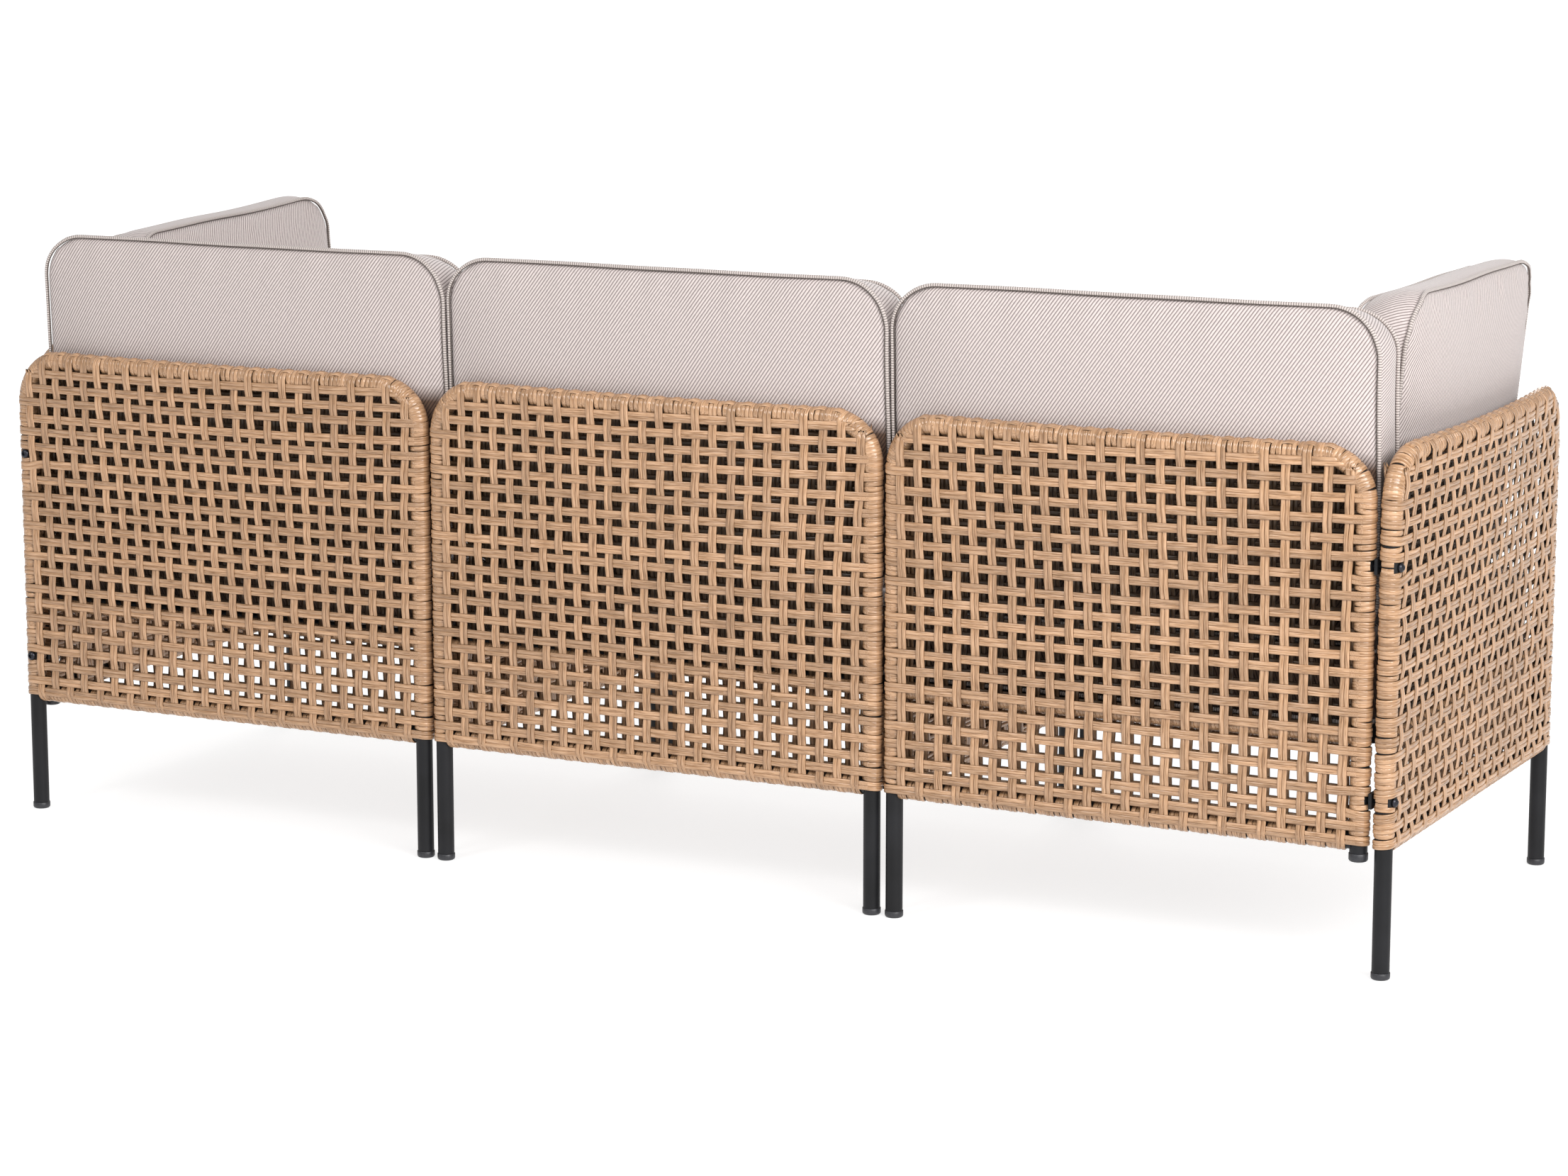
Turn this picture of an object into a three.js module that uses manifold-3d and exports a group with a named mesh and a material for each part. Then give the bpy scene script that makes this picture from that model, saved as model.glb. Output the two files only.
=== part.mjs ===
// A rattan garden sofa: a row of three loose modules. Two equal corner modules stand at the ends,
// one of them turned by a quarter turn, with an armless module between them.
// Millimetres, Z up, the front looks along -Y. The origin is on the floor under the middle of the row.
import * as THREE from 'three';
import { mergeVertices } from 'three/addons/utils/BufferGeometryUtils.js';
import Module from 'manifold-3d';

const wasm = await Module();
wasm.setup();

// Steel tube, and the strands that are wound round it
const tubeDiameter = 25;
const crossRailDiameter = 16;
const strandThickness = 3;
const tubeSides = 8;

// Gap between pieces that touch, and how far a facet may move where flat facets are merged
const fitGap = 0.3;
const facetTolerance = 0.05;

// Points closer than this are one point, and a share this close to a whole number is that number
const weldDistance = 1e-4;
const roundingShare = 1e-9;

// Woven panels, measured between tube centres
const longPanelSpan = 719;
const cornerDepthSpan = 738;
const weaveBottom = 176;
const weaveTop = 740;
const topCornerRadius = 65;
const railBow = 20;
const crossRailHeight = 334;
const bendSteps = 3;
const bowSteps = 6;
const cornerSpreadShare = 1.6;

// The coarse lattice that stands for the weave
const windowsAcross = 5;
const windowsUp = 3;
const windowsUpSkirt = 1;
const barShare = 0.9;

// Where the two panels of a corner module are bolted together
const cornerPlateThickness = 5;
const cornerPlateWidth = 20;
const cornerPlateHeight = 22;
const upperBoltHeight = 575;
const lowerBoltHeight = 250;
const boltDiameter = 8;
const boltHeadDiameter = 14;
const boltHeadHeight = 6;
const boltSides = 6;
const cornerBoltBite = 9;
const seatBoltBite = 6;

// Feet and the cap of the legless tube
const footCapDiameter = 27;
const footCapHeight = 10;
const footCapRounding = 3.5;
const capSides = 8;
const tubeCapHeight = 12;
const tubeStub = 1;

// Seat frame
const slatCount = 6;
const slatWidth = 40;
const slatThickness = 5;
const seatBoltInset = 150;

// Row
const moduleGap = 5;

// Seat cushions
const seatCushionSide = 100;
const seatCushionCrown = 14;
const seatCushionGap = 2;
const seatCushionRadius = 45;
const seatCushionFullness = 4;

// Back and side cushions
const backCushionTop = 917;
const backCushionGap = 17;
const backCushionEndRoom = 33;
const backCushionStandoff = 26.1;
const backCushionLean = 3;
const backCushionSink = 12.65;
const backCushionCrown = 28;
const sideCushionLength = 560;
const sideCushionTop = 928;
const sideCushionStandoff = 58;
// loose cushions: as photographed, one is pushed back against the back cushion
const sideCushionGaps = { left: 56, right: 22 };
// the seat is domed, so the one that stands nearer its edge stands a little lower
const sideCushionDrops = { left: 0, right: 0.7 };
const sideCushionLean = 5.5;
const sideCushionSink = 9.7;
const sideCushionCrown = 40;
const looseCushionSide = 75;
const looseCushionRadius = 70;
const looseCushionFullness = 2.2;
const cushionBulge = 7;
const cushionDrawIn = 6;

// Where the facets of a cushion lie, as shares of its length and width
const cushionLineShares = [0, 0.1, 0.3, 0.5, 0.7, 0.9, 1];

// Worked out from the sizes above
const tubeRadius = tubeDiameter / 2;
const crossRailRadius = crossRailDiameter / 2;
const wrapRadius = tubeRadius + strandThickness;
const skinThickness = strandThickness - fitGap;
const lowRailHeight = weaveBottom + wrapRadius;
const topRailHeight = weaveTop - wrapRadius;
const cornerTubeSpacing = wrapRadius * 2 + cornerPlateThickness;
const shortPanelSpan = cornerDepthSpan - cornerTubeSpacing;
const nestSpacing = wrapRadius * 2 + fitGap;
const seatTop = crossRailHeight + wrapRadius;
const cornerWidth = longPanelSpan + wrapRadius * 2;
const cornerDepth = cornerDepthSpan + wrapRadius * 2;
const rowLength = cornerWidth + moduleGap + cornerWidth + moduleGap + cornerDepth;
const rearLine = (cornerDepthSpan - railBow) / 2;
const rowSpan = rowLength - wrapRadius * 2;
const backCushionWidth = (rowSpan - (backCushionEndRoom + backCushionGap) * 2) / 3;

// Colours and finishes
const finish = (color, roughness, metalness) => new THREE.MeshStandardMaterial({ color, roughness, metalness });
const steelBlack = finish(0x33343a, 0.55, 0.3);
const rattan = finish(0xc39f78, 0.6, 0);
const greigeFabric = finish(0xcfc6c0, 0.95, 0);
const plasticBlack = finish(0x3b3b40, 0.5, 0);
const boltBlack = finish(0x2a2b30, 0.4, 0.6);
const skirtRattan = finish(0xb28f69, 0.65, 0);

const vector = (x, y, z) => new THREE.Vector3(x, y, z);
const angle = (degrees) => THREE.MathUtils.degToRad(degrees);

// Closed meshes and solids

function closedMesh(geometry) {
  const bare = geometry.clone();
  bare.deleteAttribute('normal');
  bare.deleteAttribute('uv');
  return mergeVertices(bare, weldDistance);
}

function solidFrom(geometry) {
  const merged = closedMesh(geometry);
  const vertProperties = new Float32Array(merged.getAttribute('position').array);
  const triVerts = new Uint32Array(merged.getIndex().array);
  return new wasm.Manifold(new wasm.Mesh({ numProp: 3, vertProperties, triVerts }));
}

function geometryFrom(solid) {
  const { vertProperties, triVerts } = solid.asOriginal().simplify(facetTolerance).getMesh();
  const geometry = new THREE.BufferGeometry();
  geometry.setAttribute('position', new THREE.BufferAttribute(new Float32Array(vertProperties), 3));
  geometry.setIndex(new THREE.BufferAttribute(new Uint32Array(triVerts), 1));
  geometry.computeVertexNormals();
  return geometry;
}

const joined = (solids) => solids.reduce((whole, solid) => whole.add(solid));
const cutBy = (solid, cutters) => cutters.reduce((rest, cutter) => rest.subtract(cutter), solid);

// Four corners of a face, turned so that the face looks along outward
function addFace(triangles, corners, outward) {
  const [a, b, c, d] = corners;
  const across = c.clone().sub(a);
  const along = d.clone().sub(b);
  const order = across.cross(along).dot(outward) > 0 ? [a, b, c, a, c, d] : [a, c, b, a, d, c];
  order.forEach((corner) => triangles.push(corner.x, corner.y, corner.z));
}

function shellGeometry(triangles) {
  const geometry = new THREE.BufferGeometry();
  geometry.setAttribute('position', new THREE.BufferAttribute(new Float32Array(triangles), 3));
  return closedMesh(geometry);
}

// Tubes

function polygon(radius, sides) {
  const corners = Array.from({ length: sides }, (_, i) => {
    const turn = ((i + 0.5) / sides) * Math.PI * 2;
    return new THREE.Vector2(Math.cos(turn) * radius, Math.sin(turn) * radius);
  });
  return new THREE.Shape(corners);
}

// A route through given points, with a step of the tube at each point
class TubeRoute extends THREE.Curve {
  constructor(points) {
    super();
    this.points = points;
  }
  getPoint(t, target = new THREE.Vector3()) {
    const place = t * (this.points.length - 1);
    const first = Math.min(Math.floor(place + roundingShare), this.points.length - 2);
    return target.lerpVectors(this.points[first], this.points[first + 1], place - first);
  }
  getPointAt(u, target) {
    return this.getPoint(u, target);
  }
  getTangentAt(u, target = new THREE.Vector3()) {
    const last = this.points.length - 1;
    const index = Math.round(u * last);
    const before = this.points[Math.max(index - 1, 0)];
    const here = this.points[index];
    const after = this.points[Math.min(index + 1, last)];
    const arriving = here.clone().sub(before).normalize();
    const leaving = after.clone().sub(here).normalize();
    return target.copy(arriving.add(leaving).normalize());
  }
}

function tube(points, radius, sides = tubeSides) {
  const route = new TubeRoute(points);
  const settings = { steps: points.length - 1, bevelEnabled: false, extrudePath: route };
  return solidFrom(new THREE.ExtrudeGeometry(polygon(radius, sides), settings));
}

function block(width, depth, height, centre) {
  return solidFrom(new THREE.BoxGeometry(width, depth, height).translate(centre.x, centre.y, centre.z));
}

// Woven panels. A panel lies along X from its first tube at 0 to its second at span, and looks along +Y.
// It is straight up to its cross rail, and from there its top rail is bowed outward.

const bowAt = (panel, x, z) => {
  const acrossShare = Math.min(Math.max(x / panel.span, 0), 1);
  const upShare = Math.max((z - crossRailHeight) / (topRailHeight - crossRailHeight), 0);
  return panel.bow * acrossShare * (1 - acrossShare) * 4 * upShare;
};

const onPanel = (panel, x, out, z) => vector(x, out + bowAt(panel, x, z), z);

// Moves a point of the flat grid so that the outline's top corners are round
function roundedCorner(panel, x, z) {
  const reach = panel.cornerRadius + wrapRadius;
  const bendZ = panel.top - reach;
  const firstX = reach - wrapRadius;
  const lastX = panel.span - firstX;
  if (panel.cornerRadius === 0 || z <= bendZ || (x >= firstX && x <= lastX)) return [x, z];
  const bendX = x < firstX ? firstX : lastX;
  const across = Math.abs(x - bendX);
  const up = z - bendZ;
  const ring = Math.max(across, up);
  const turn = (Math.PI / 4) * (Math.min(across, up) / ring) ** cornerSpreadShare;
  const bend = across > up ? turn : Math.PI / 2 - turn;
  return [bendX + Math.sign(x - bendX) * ring * Math.cos(bend), bendZ + ring * Math.sin(bend)];
}

// Edges of the windows between two limits, with a bar between each two windows
function windowEdges(from, to, count) {
  const window = (to - from) / (count + (count - 1) * barShare);
  const pitch = window * (1 + barShare);
  return Array.from({ length: count }, (_, i) => [from + pitch * i, from + pitch * i + window]).flat();
}

// Two open layers of strands, joined all round the edge, where the strands turn round the tubes
function wovenShell(panel) {
  const xFirst = -wrapRadius;
  const xLast = panel.span + wrapRadius;
  const xs = [xFirst, 0, ...windowEdges(wrapRadius, panel.span - wrapRadius, panel.across), panel.span, xLast];
  const zInner = [panel.bottom + wrapRadius * 2, panel.top - wrapRadius * 2];
  const zs = [
    panel.bottom,
    panel.bottom + wrapRadius,
    ...windowEdges(zInner[0], zInner[1], panel.up),
    panel.top - wrapRadius,
    panel.top,
  ];
  const lastX = xs.length - 1;
  const lastZ = zs.length - 1;
  const inset = wrapRadius * (1 - Math.SQRT1_2);
  const inRim = (i, j) => i < 2 || j < 2 || i >= lastX - 2 || j >= lastZ - 2;
  const isWindow = (i, j) => !inRim(i, j) && i % 2 === 0 && j % 2 === 0;

  // Grid point i, j on a layer: 1 outside of the outer layer, -1 outside of the inner one
  const place = (i, j, out, pulledIn) => {
    const x = xs[i] + (i === 0 ? pulledIn : i === lastX ? -pulledIn : 0);
    const z = zs[j] + (j === 0 ? pulledIn : j === lastZ ? -pulledIn : 0);
    const [roundX, roundZ] = roundedCorner(panel, x, z);
    return onPanel(panel, roundX, out, roundZ);
  };
  const skin = (i, j, side) => {
    const onEdge = i === 0 || j === 0 || i === lastX || j === lastZ;
    return place(i, j, side * (onEdge ? wrapRadius * Math.SQRT1_2 : wrapRadius), inset);
  };
  const back = (i, j, side) => place(i, j, side * (wrapRadius - skinThickness), 0);
  const rim = (i, j) => place(i, j, 0, 0);

  const triangles = [];
  const outward = (side) => vector(0, side, 0);
  for (let i = 0; i < lastX; i += 1) {
    for (let j = 0; j < lastZ; j += 1) {
      if (isWindow(i, j)) continue;
      const cell = [[i, j], [i + 1, j], [i + 1, j + 1], [i, j + 1]];
      for (const side of [1, -1]) {
        addFace(triangles, cell.map(([a, b]) => skin(a, b, side)), outward(side));
        if (!inRim(i, j)) addFace(triangles, cell.map(([a, b]) => back(a, b, side)), outward(-side));
      }
    }
  }
  // Walls between cell i, j and the next cell along X or Z
  const wall = (i, j, alongX) => {
    const [nextI, nextJ] = alongX ? [i + 1, j] : [i, j + 1];
    const low = alongX ? [i + 1, j] : [i, j + 1];
    const high = [i + 1, j + 1];
    const way = alongX ? vector(1, 0, 0) : vector(0, 0, 1);
    const hole = isWindow(i, j);
    if (hole !== isWindow(nextI, nextJ)) {
      const towardHole = way.clone().multiplyScalar(hole ? -1 : 1);
      for (const side of [1, -1]) {
        const corners = [skin(...low, side), skin(...high, side), back(...high, side), back(...low, side)];
        addFace(triangles, corners, towardHole);
      }
    }
    if (inRim(i, j) !== inRim(nextI, nextJ)) {
      const towardHollow = way.clone().multiplyScalar(inRim(i, j) ? 1 : -1);
      addFace(triangles, [back(...low, 1), back(...high, 1), back(...high, -1), back(...low, -1)], towardHollow);
    }
  };
  for (let i = 0; i < lastX; i += 1) {
    for (let j = 0; j < lastZ; j += 1) {
      if (i < lastX - 1) wall(i, j, true);
      if (j < lastZ - 1) wall(i, j, false);
    }
  }
  // The rounded edge, where the strands turn from one layer to the other
  const edge = (from, to, away) => {
    for (const side of [1, -1]) {
      addFace(triangles, [skin(...from, side), skin(...to, side), rim(...to), rim(...from)], away);
    }
  };
  for (let i = 0; i < lastX; i += 1) {
    edge([i, 0], [i + 1, 0], vector(0, 0, -1));
    edge([i, lastZ], [i + 1, lastZ], vector(0, 0, 1));
  }
  for (let j = 0; j < lastZ; j += 1) {
    edge([0, j], [0, j + 1], vector(-1, 0, 0));
    edge([lastX, j], [lastX, j + 1], vector(1, 0, 0));
  }
  return solidFrom(shellGeometry(triangles));
}

// The bent tube of a panel: up from the first foot, round the corner, along the bowed top, and down
function hoopRoute(panel) {
  const bend = (centreX, fromTurn) =>
    Array.from({ length: bendSteps + 1 }, (_, i) => {
      const turn = fromTurn - (i / bendSteps) * (Math.PI / 2);
      const x = centreX + Math.cos(turn) * topCornerRadius;
      const z = topRailHeight - topCornerRadius + Math.sin(turn) * topCornerRadius;
      return onPanel(panel, x, 0, z);
    });
  const railFrom = topCornerRadius;
  const railTo = panel.span - topCornerRadius;
  const top = Array.from({ length: bowSteps - 1 }, (_, i) => {
    const x = railFrom + ((i + 1) / bowSteps) * (railTo - railFrom);
    return onPanel(panel, x, 0, topRailHeight);
  });
  return [
    vector(0, 0, panel.firstFoot),
    ...bend(railFrom, Math.PI),
    ...top,
    ...bend(railTo, Math.PI / 2),
    vector(panel.span, 0, panel.secondFoot),
  ];
}

function panelFrame(panel, grow) {
  return joined([
    tube(hoopRoute(panel), tubeRadius + grow),
    tube([vector(0, 0, lowRailHeight), vector(panel.span, 0, lowRailHeight)], tubeRadius + grow),
    tube([vector(0, 0, crossRailHeight), vector(panel.span, 0, crossRailHeight)], crossRailRadius + grow),
  ]);
}

function panelWeave(panel, cutters) {
  const railWrap = [vector(0, 0, crossRailHeight), vector(panel.span, 0, crossRailHeight)];
  const woven = wovenShell(panel).add(tube(railWrap, crossRailRadius + strandThickness));
  return cutBy(woven, [panelFrame(panel, fitGap), ...cutters]);
}

const tallPanel = (span, firstFoot) => ({
  span,
  bottom: weaveBottom,
  top: weaveTop,
  cornerRadius: topCornerRadius,
  bow: railBow,
  across: windowsAcross,
  up: windowsUp,
  firstFoot,
  secondFoot: footCapHeight + fitGap,
});

const skirtPanel = (span) => ({
  span,
  bottom: weaveBottom,
  top: seatTop,
  cornerRadius: 0,
  bow: 0,
  across: windowsAcross,
  up: windowsUpSkirt,
});

const longPanel = tallPanel(longPanelSpan, footCapHeight + fitGap);
const shortPanel = tallPanel(shortPanelSpan, weaveBottom - tubeStub);

// Bolts. A bolt lies along -Y: its head looks along +Y and its shank runs to the far end.

function boltSolid(shankLength, grow) {
  const head = [vector(0, -grow, 0), vector(0, boltHeadHeight + grow, 0)];
  const shank = [vector(0, boltHeadHeight / 2, 0), vector(0, -shankLength - grow, 0)];
  return tube(head, boltHeadDiameter / 2 + grow, boltSides).add(tube(shank, boltDiameter / 2 + grow, boltSides));
}

const cornerShank = cornerTubeSpacing + cornerBoltBite - fitGap * 2;
const ringToRail = nestSpacing + tubeRadius;
const seatShank = ringToRail + fitGap + seatBoltBite;
const boltHeights = { upper: upperBoltHeight, lower: lowerBoltHeight };

// Places of the bolts in a corner module, as a move and a turn about Z
const cornerBoltPlace = (height) => ({ move: vector(0, tubeRadius + fitGap, height), turn: 0 });
const rearSeatBoltPlace = (x) => ({ move: vector(x, -ringToRail - fitGap, crossRailHeight), turn: 180 });
const sideSeatBoltPlace = (y) => ({ move: vector(-ringToRail - fitGap, y, crossRailHeight), turn: 90 });

const placed = (solid, place) => solid.rotate([0, 0, place.turn]).translate([place.move.x, place.move.y, place.move.z]);

// Seat frame of a module: ring of tube with slats, lower rails and posts on its open sides, and legs

function seatFrameSolid(seat, grow) {
  const radius = tubeRadius + grow;
  const { left, right, front, rear } = seat;
  const level = (from, to, z) => tube([vector(...from, z), vector(...to, z)], radius);
  const upright = ([x, y], foot) => tube([vector(x, y, foot), vector(x, y, crossRailHeight)], radius);
  const ring = [
    level([left, front], [right, front], crossRailHeight),
    level([left, rear], [right, rear], crossRailHeight),
    level([left, front], [left, rear], crossRailHeight),
    level([right, front], [right, rear], crossRailHeight),
  ];
  const lowRails = seat.openSides.map(([from, to]) => level(from, to, lowRailHeight));
  const posts = seat.posts.map((place) => upright(place, lowRailHeight));
  const legs = seat.legs.map((place) => upright(place, footCapHeight + fitGap));
  const slatPitch = (right - left) / (slatCount + 1);
  const slats = Array.from({ length: slatCount }, (_, i) => {
    const centre = vector(left + slatPitch * (i + 1), (front + rear) / 2, seatTop - slatThickness / 2);
    return block(slatWidth + grow * 2, rear - front + grow * 2, slatThickness + grow * 2, centre);
  });
  return joined([...ring, ...lowRails, ...posts, ...legs, ...slats]);
}

const cornerSeat = (() => {
  const left = -longPanelSpan;
  const right = -nestSpacing;
  const rear = -nestSpacing;
  const front = -cornerDepthSpan;
  return {
    left,
    right,
    rear,
    front,
    openSides: [[[left, front], [right, front]], [[left, front + nestSpacing], [left, rear]]],
    posts: [[right, front], [left, rear], [left, front + nestSpacing]],
    legs: [[left, front]],
    bolts: {
      rear_left: rearSeatBoltPlace(left + seatBoltInset),
      rear_right: rearSeatBoltPlace(-seatBoltInset),
      side: sideSeatBoltPlace(front + seatBoltInset),
    },
  };
})();

const middleSeat = (() => {
  const left = -longPanelSpan;
  const right = 0;
  const rear = -nestSpacing;
  const front = -longPanelSpan;
  return {
    left,
    right,
    rear,
    front,
    openSides: [
      [[left, front], [right, front]],
      [[left, front + nestSpacing], [left, rear]],
      [[right, front + nestSpacing], [right, rear]],
    ],
    posts: [[right, rear], [left, rear], [left, front + nestSpacing], [right, front + nestSpacing]],
    legs: [[left, front], [right, front]],
    bolts: {
      rear_left: rearSeatBoltPlace(left + seatBoltInset),
      rear_right: rearSeatBoltPlace(right - seatBoltInset),
    },
  };
})();

const seatBoltCutters = (seat, move, turn) =>
  Object.values(seat.bolts).map((place) => placed(placed(boltSolid(seatShank, fitGap), place), { move, turn }));

// A skirt is made where it stands in its module, so that the seat frame can be cut from it
function skirtWeave(seat, start, turn, span) {
  const standing = placed(wovenShell(skirtPanel(span)), { move: start, turn });
  return cutBy(standing, [seatFrameSolid(seat, fitGap)]);
}

// Caps, turned about their tube

function footCap() {
  const radius = footCapDiameter / 2;
  const profile = [
    new THREE.Vector2(0, 0),
    new THREE.Vector2(radius - footCapRounding, 0),
    new THREE.Vector2(radius, footCapRounding),
    new THREE.Vector2(radius, footCapHeight),
    new THREE.Vector2(0, footCapHeight),
  ];
  return new THREE.LatheGeometry(profile, capSides).rotateX(Math.PI / 2);
}

function tubeCap() {
  const radius = footCapDiameter / 2;
  const profile = [
    new THREE.Vector2(0, 0),
    new THREE.Vector2(radius - footCapRounding, 0),
    new THREE.Vector2(radius, footCapRounding),
    new THREE.Vector2(radius, tubeCapHeight),
    new THREE.Vector2(0, tubeCapHeight),
  ];
  return new THREE.LatheGeometry(profile, capSides).rotateX(Math.PI / 2);
}

// Cushions. A cushion stands up: its length is along X, its height along Z, its faces look along Y.

// The crown falls to nothing at the edge. Both shares run from 0 to 1 across the face.
const crownShare = (shareX, shareZ, fullness) =>
  (1 - Math.abs(shareX * 2 - 1) ** fullness) * (1 - Math.abs(shareZ * 2 - 1) ** fullness);

function cushion({ length, height, side, radius, crownFront, crownBack, fullness }) {
  const last = cushionLineShares.length - 1;
  const cornerShareX = radius / length;
  const cornerShareZ = radius / height;
  const line = (share, cornerShare) => {
    if (share === cushionLineShares[1]) return cornerShare;
    if (share === cushionLineShares[last - 1]) return 1 - cornerShare;
    return share;
  };
  const shareX = (i) => line(cushionLineShares[i], cornerShareX);
  const shareZ = (j) => line(cushionLineShares[j], cornerShareZ);
  const bowIn = (share) => cushionDrawIn * (1 - (share * 2 - 1) ** 2);
  const place = (i, j, y, bulge) => {
    let x = (shareX(i) - 0.5) * length;
    let z = (shareZ(j) - 0.5) * height;
    const endX = i === 0 || i === last;
    const endZ = j === 0 || j === last;
    const cornerPull = radius * (1 - Math.SQRT1_2);
    const pullX = endX && endZ ? cornerPull - bulge * Math.SQRT1_2 : bowIn(shareZ(j)) - bulge;
    const pullZ = endX && endZ ? cornerPull - bulge * Math.SQRT1_2 : bowIn(shareX(i)) - bulge;
    if (endX) x -= Math.sign(x) * pullX;
    if (endZ) z -= Math.sign(z) * pullZ;
    return vector(x, y, z);
  };
  const face = (i, j, facing, crown) => {
    const out = side / 2 + crown * crownShare(shareX(i), shareZ(j), fullness);
    return place(i, j, facing * out, 0);
  };
  const triangles = [];
  for (const [facing, crown] of [[-1, crownFront], [1, crownBack]]) {
    for (let i = 0; i < last; i += 1) {
      for (let j = 0; j < last; j += 1) {
        const cell = [[i, j], [i + 1, j], [i + 1, j + 1], [i, j + 1]];
        addFace(triangles, cell.map(([a, b]) => face(a, b, facing, crown)), vector(0, facing, 0));
      }
    }
  }
  const band = (from, to, away) => {
    for (const [facing, crown] of [[-1, crownFront], [1, crownBack]]) {
      const edge = [face(...from, facing, crown), face(...to, facing, crown)];
      addFace(triangles, [...edge, place(...to, 0, cushionBulge), place(...from, 0, cushionBulge)], away);
    }
  };
  for (let i = 0; i < last; i += 1) {
    band([i, 0], [i + 1, 0], vector(0, 0, -1));
    band([i, last], [i + 1, last], vector(0, 0, 1));
    band([0, i], [0, i + 1], vector(-1, 0, 0));
    band([last, i], [last, i + 1], vector(1, 0, 0));
  }
  return shellGeometry(triangles);
}

// A seat cushion lies down with its flat underside at 0 and its middle at the origin
function seatCushion(width, depth) {
  const lying = cushion({
    length: width,
    height: depth,
    side: seatCushionSide,
    radius: seatCushionRadius,
    crownFront: 0,
    crownBack: seatCushionCrown,
    fullness: seatCushionFullness,
  });
  return lying.rotateX(Math.PI / 2).translate(0, 0, seatCushionSide / 2);
}

// A loose cushion stands on the seat cushion near its edge, where that is lower than its crown
const seatCrownTop = seatTop + fitGap + seatCushionSide + seatCushionCrown;
const backCushionFoot = seatCrownTop - backCushionSink + cushionBulge;
const sideCushionFoot = seatCrownTop - sideCushionSink + cushionBulge;

function looseCushion(length, height, crown) {
  return cushion({
    length,
    height,
    side: looseCushionSide,
    radius: looseCushionRadius,
    crownFront: crown,
    crownBack: crown,
    fullness: looseCushionFullness,
  });
}

// Assembly

const group = new THREE.Group();

function addPiece(parent, name, geometry, material, position = vector(0, 0, 0), turn = 0) {
  const mesh = new THREE.Mesh(geometry, material);
  mesh.name = name;
  mesh.position.copy(position);
  mesh.rotation.z = angle(turn);
  parent.add(mesh);
  return mesh;
}

function addFeet(parent, prefix, places) {
  const cap = footCap();
  Object.entries(places).forEach(([corner, [x, y]]) => {
    addPiece(parent, `${prefix}_foot_cap_${corner}`, cap, plasticBlack, vector(x, y, 0));
  });
}

function addSeatBolts(parent, prefix, seat) {
  const bolt = geometryFrom(boltSolid(seatShank, 0));
  Object.entries(seat.bolts).forEach(([name, place]) => {
    addPiece(parent, `${prefix}_seat_bolt_${name}`, bolt, boltBlack, place.move, place.turn);
  });
}

// A corner module has its corner leg at the origin, its long panel along -X and its short one along -Y
function cornerModule(prefix) {
  const module = new THREE.Group();
  const seat = cornerSeat;
  const boltTools = Object.values(boltHeights).map((height) =>
    placed(boltSolid(cornerShank, fitGap), cornerBoltPlace(height)));
  const longPlace = vector(-longPanelSpan, 0, 0);
  const shortPlace = vector(0, -cornerTubeSpacing, 0);
  const seatTools = seatBoltCutters(seat, vector(0, 0, 0), 0);

  // Cutters are moved into the frame of the panel that they cut
  const inLong = [...boltTools, ...seatTools].map((tool) => tool.translate([longPanelSpan, 0, 0]));
  const inShort = [...boltTools, ...seatTools].map((tool) =>
    tool.translate([0, cornerTubeSpacing, 0]).rotate([0, 0, 90]));

  addPiece(module, `${prefix}_long_panel_frame`, geometryFrom(cutBy(panelFrame(longPanel, 0), inLong)),
    steelBlack, longPlace);
  addPiece(module, `${prefix}_long_panel_weave`, geometryFrom(panelWeave(longPanel, inLong)), rattan, longPlace);
  addPiece(module, `${prefix}_short_panel_frame`, geometryFrom(cutBy(panelFrame(shortPanel, 0), inShort)),
    steelBlack, shortPlace, -90);
  addPiece(module, `${prefix}_short_panel_weave`, geometryFrom(panelWeave(shortPanel, inShort)), rattan,
    shortPlace, -90);

  const capPlace = vector(0, -cornerTubeSpacing, weaveBottom - tubeStub - fitGap - tubeCapHeight);
  addPiece(module, `${prefix}_tube_cap`, tubeCap(), plasticBlack, capPlace);

  Object.entries(boltHeights).forEach(([name, height]) => {
    const bolt = cornerBoltPlace(height);
    addPiece(module, `${prefix}_corner_bolt_${name}`, geometryFrom(boltSolid(cornerShank, 0)), boltBlack, bolt.move);
    const plateCentre = vector(0, -cornerTubeSpacing / 2, height);
    const plateDepth = cornerPlateThickness - fitGap * 2;
    const plate = cutBy(block(cornerPlateWidth, plateDepth, cornerPlateHeight, plateCentre), boltTools);
    addPiece(module, `${prefix}_corner_plate_${name}`, geometryFrom(plate), steelBlack);
  });

  addPiece(module, `${prefix}_seat_frame`, geometryFrom(cutBy(seatFrameSolid(seat, 0), seatTools)), steelBlack);
  const frontSkirt = skirtWeave(seat, vector(seat.right, seat.front, 0), 180, seat.right - seat.left);
  addPiece(module, `${prefix}_front_skirt_weave`, geometryFrom(frontSkirt), skirtRattan);
  const sideStart = vector(seat.left, seat.front + nestSpacing, 0);
  const sideSkirt = skirtWeave(seat, sideStart, 90, seat.rear - sideStart.y);
  addPiece(module, `${prefix}_side_skirt_weave`, geometryFrom(sideSkirt), skirtRattan);
  addSeatBolts(module, prefix, seat);

  addFeet(module, prefix, {
    corner: [0, 0],
    long_end: [-longPanelSpan, 0],
    short_end: [0, -cornerDepthSpan],
    free: [seat.left, seat.front],
  });

  const seatWidth = longPanelSpan - (seatCushionGap + cushionBulge) * 2;
  const seatDepth = cornerDepthSpan - (seatCushionGap + cushionBulge) * 2;
  const seatMiddle = vector(-wrapRadius - longPanelSpan / 2, -wrapRadius - cornerDepthSpan / 2, seatTop + fitGap);
  addPiece(module, `${prefix}_seat_cushion`, seatCushion(seatWidth, seatDepth), greigeFabric, seatMiddle);
  return module;
}

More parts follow.
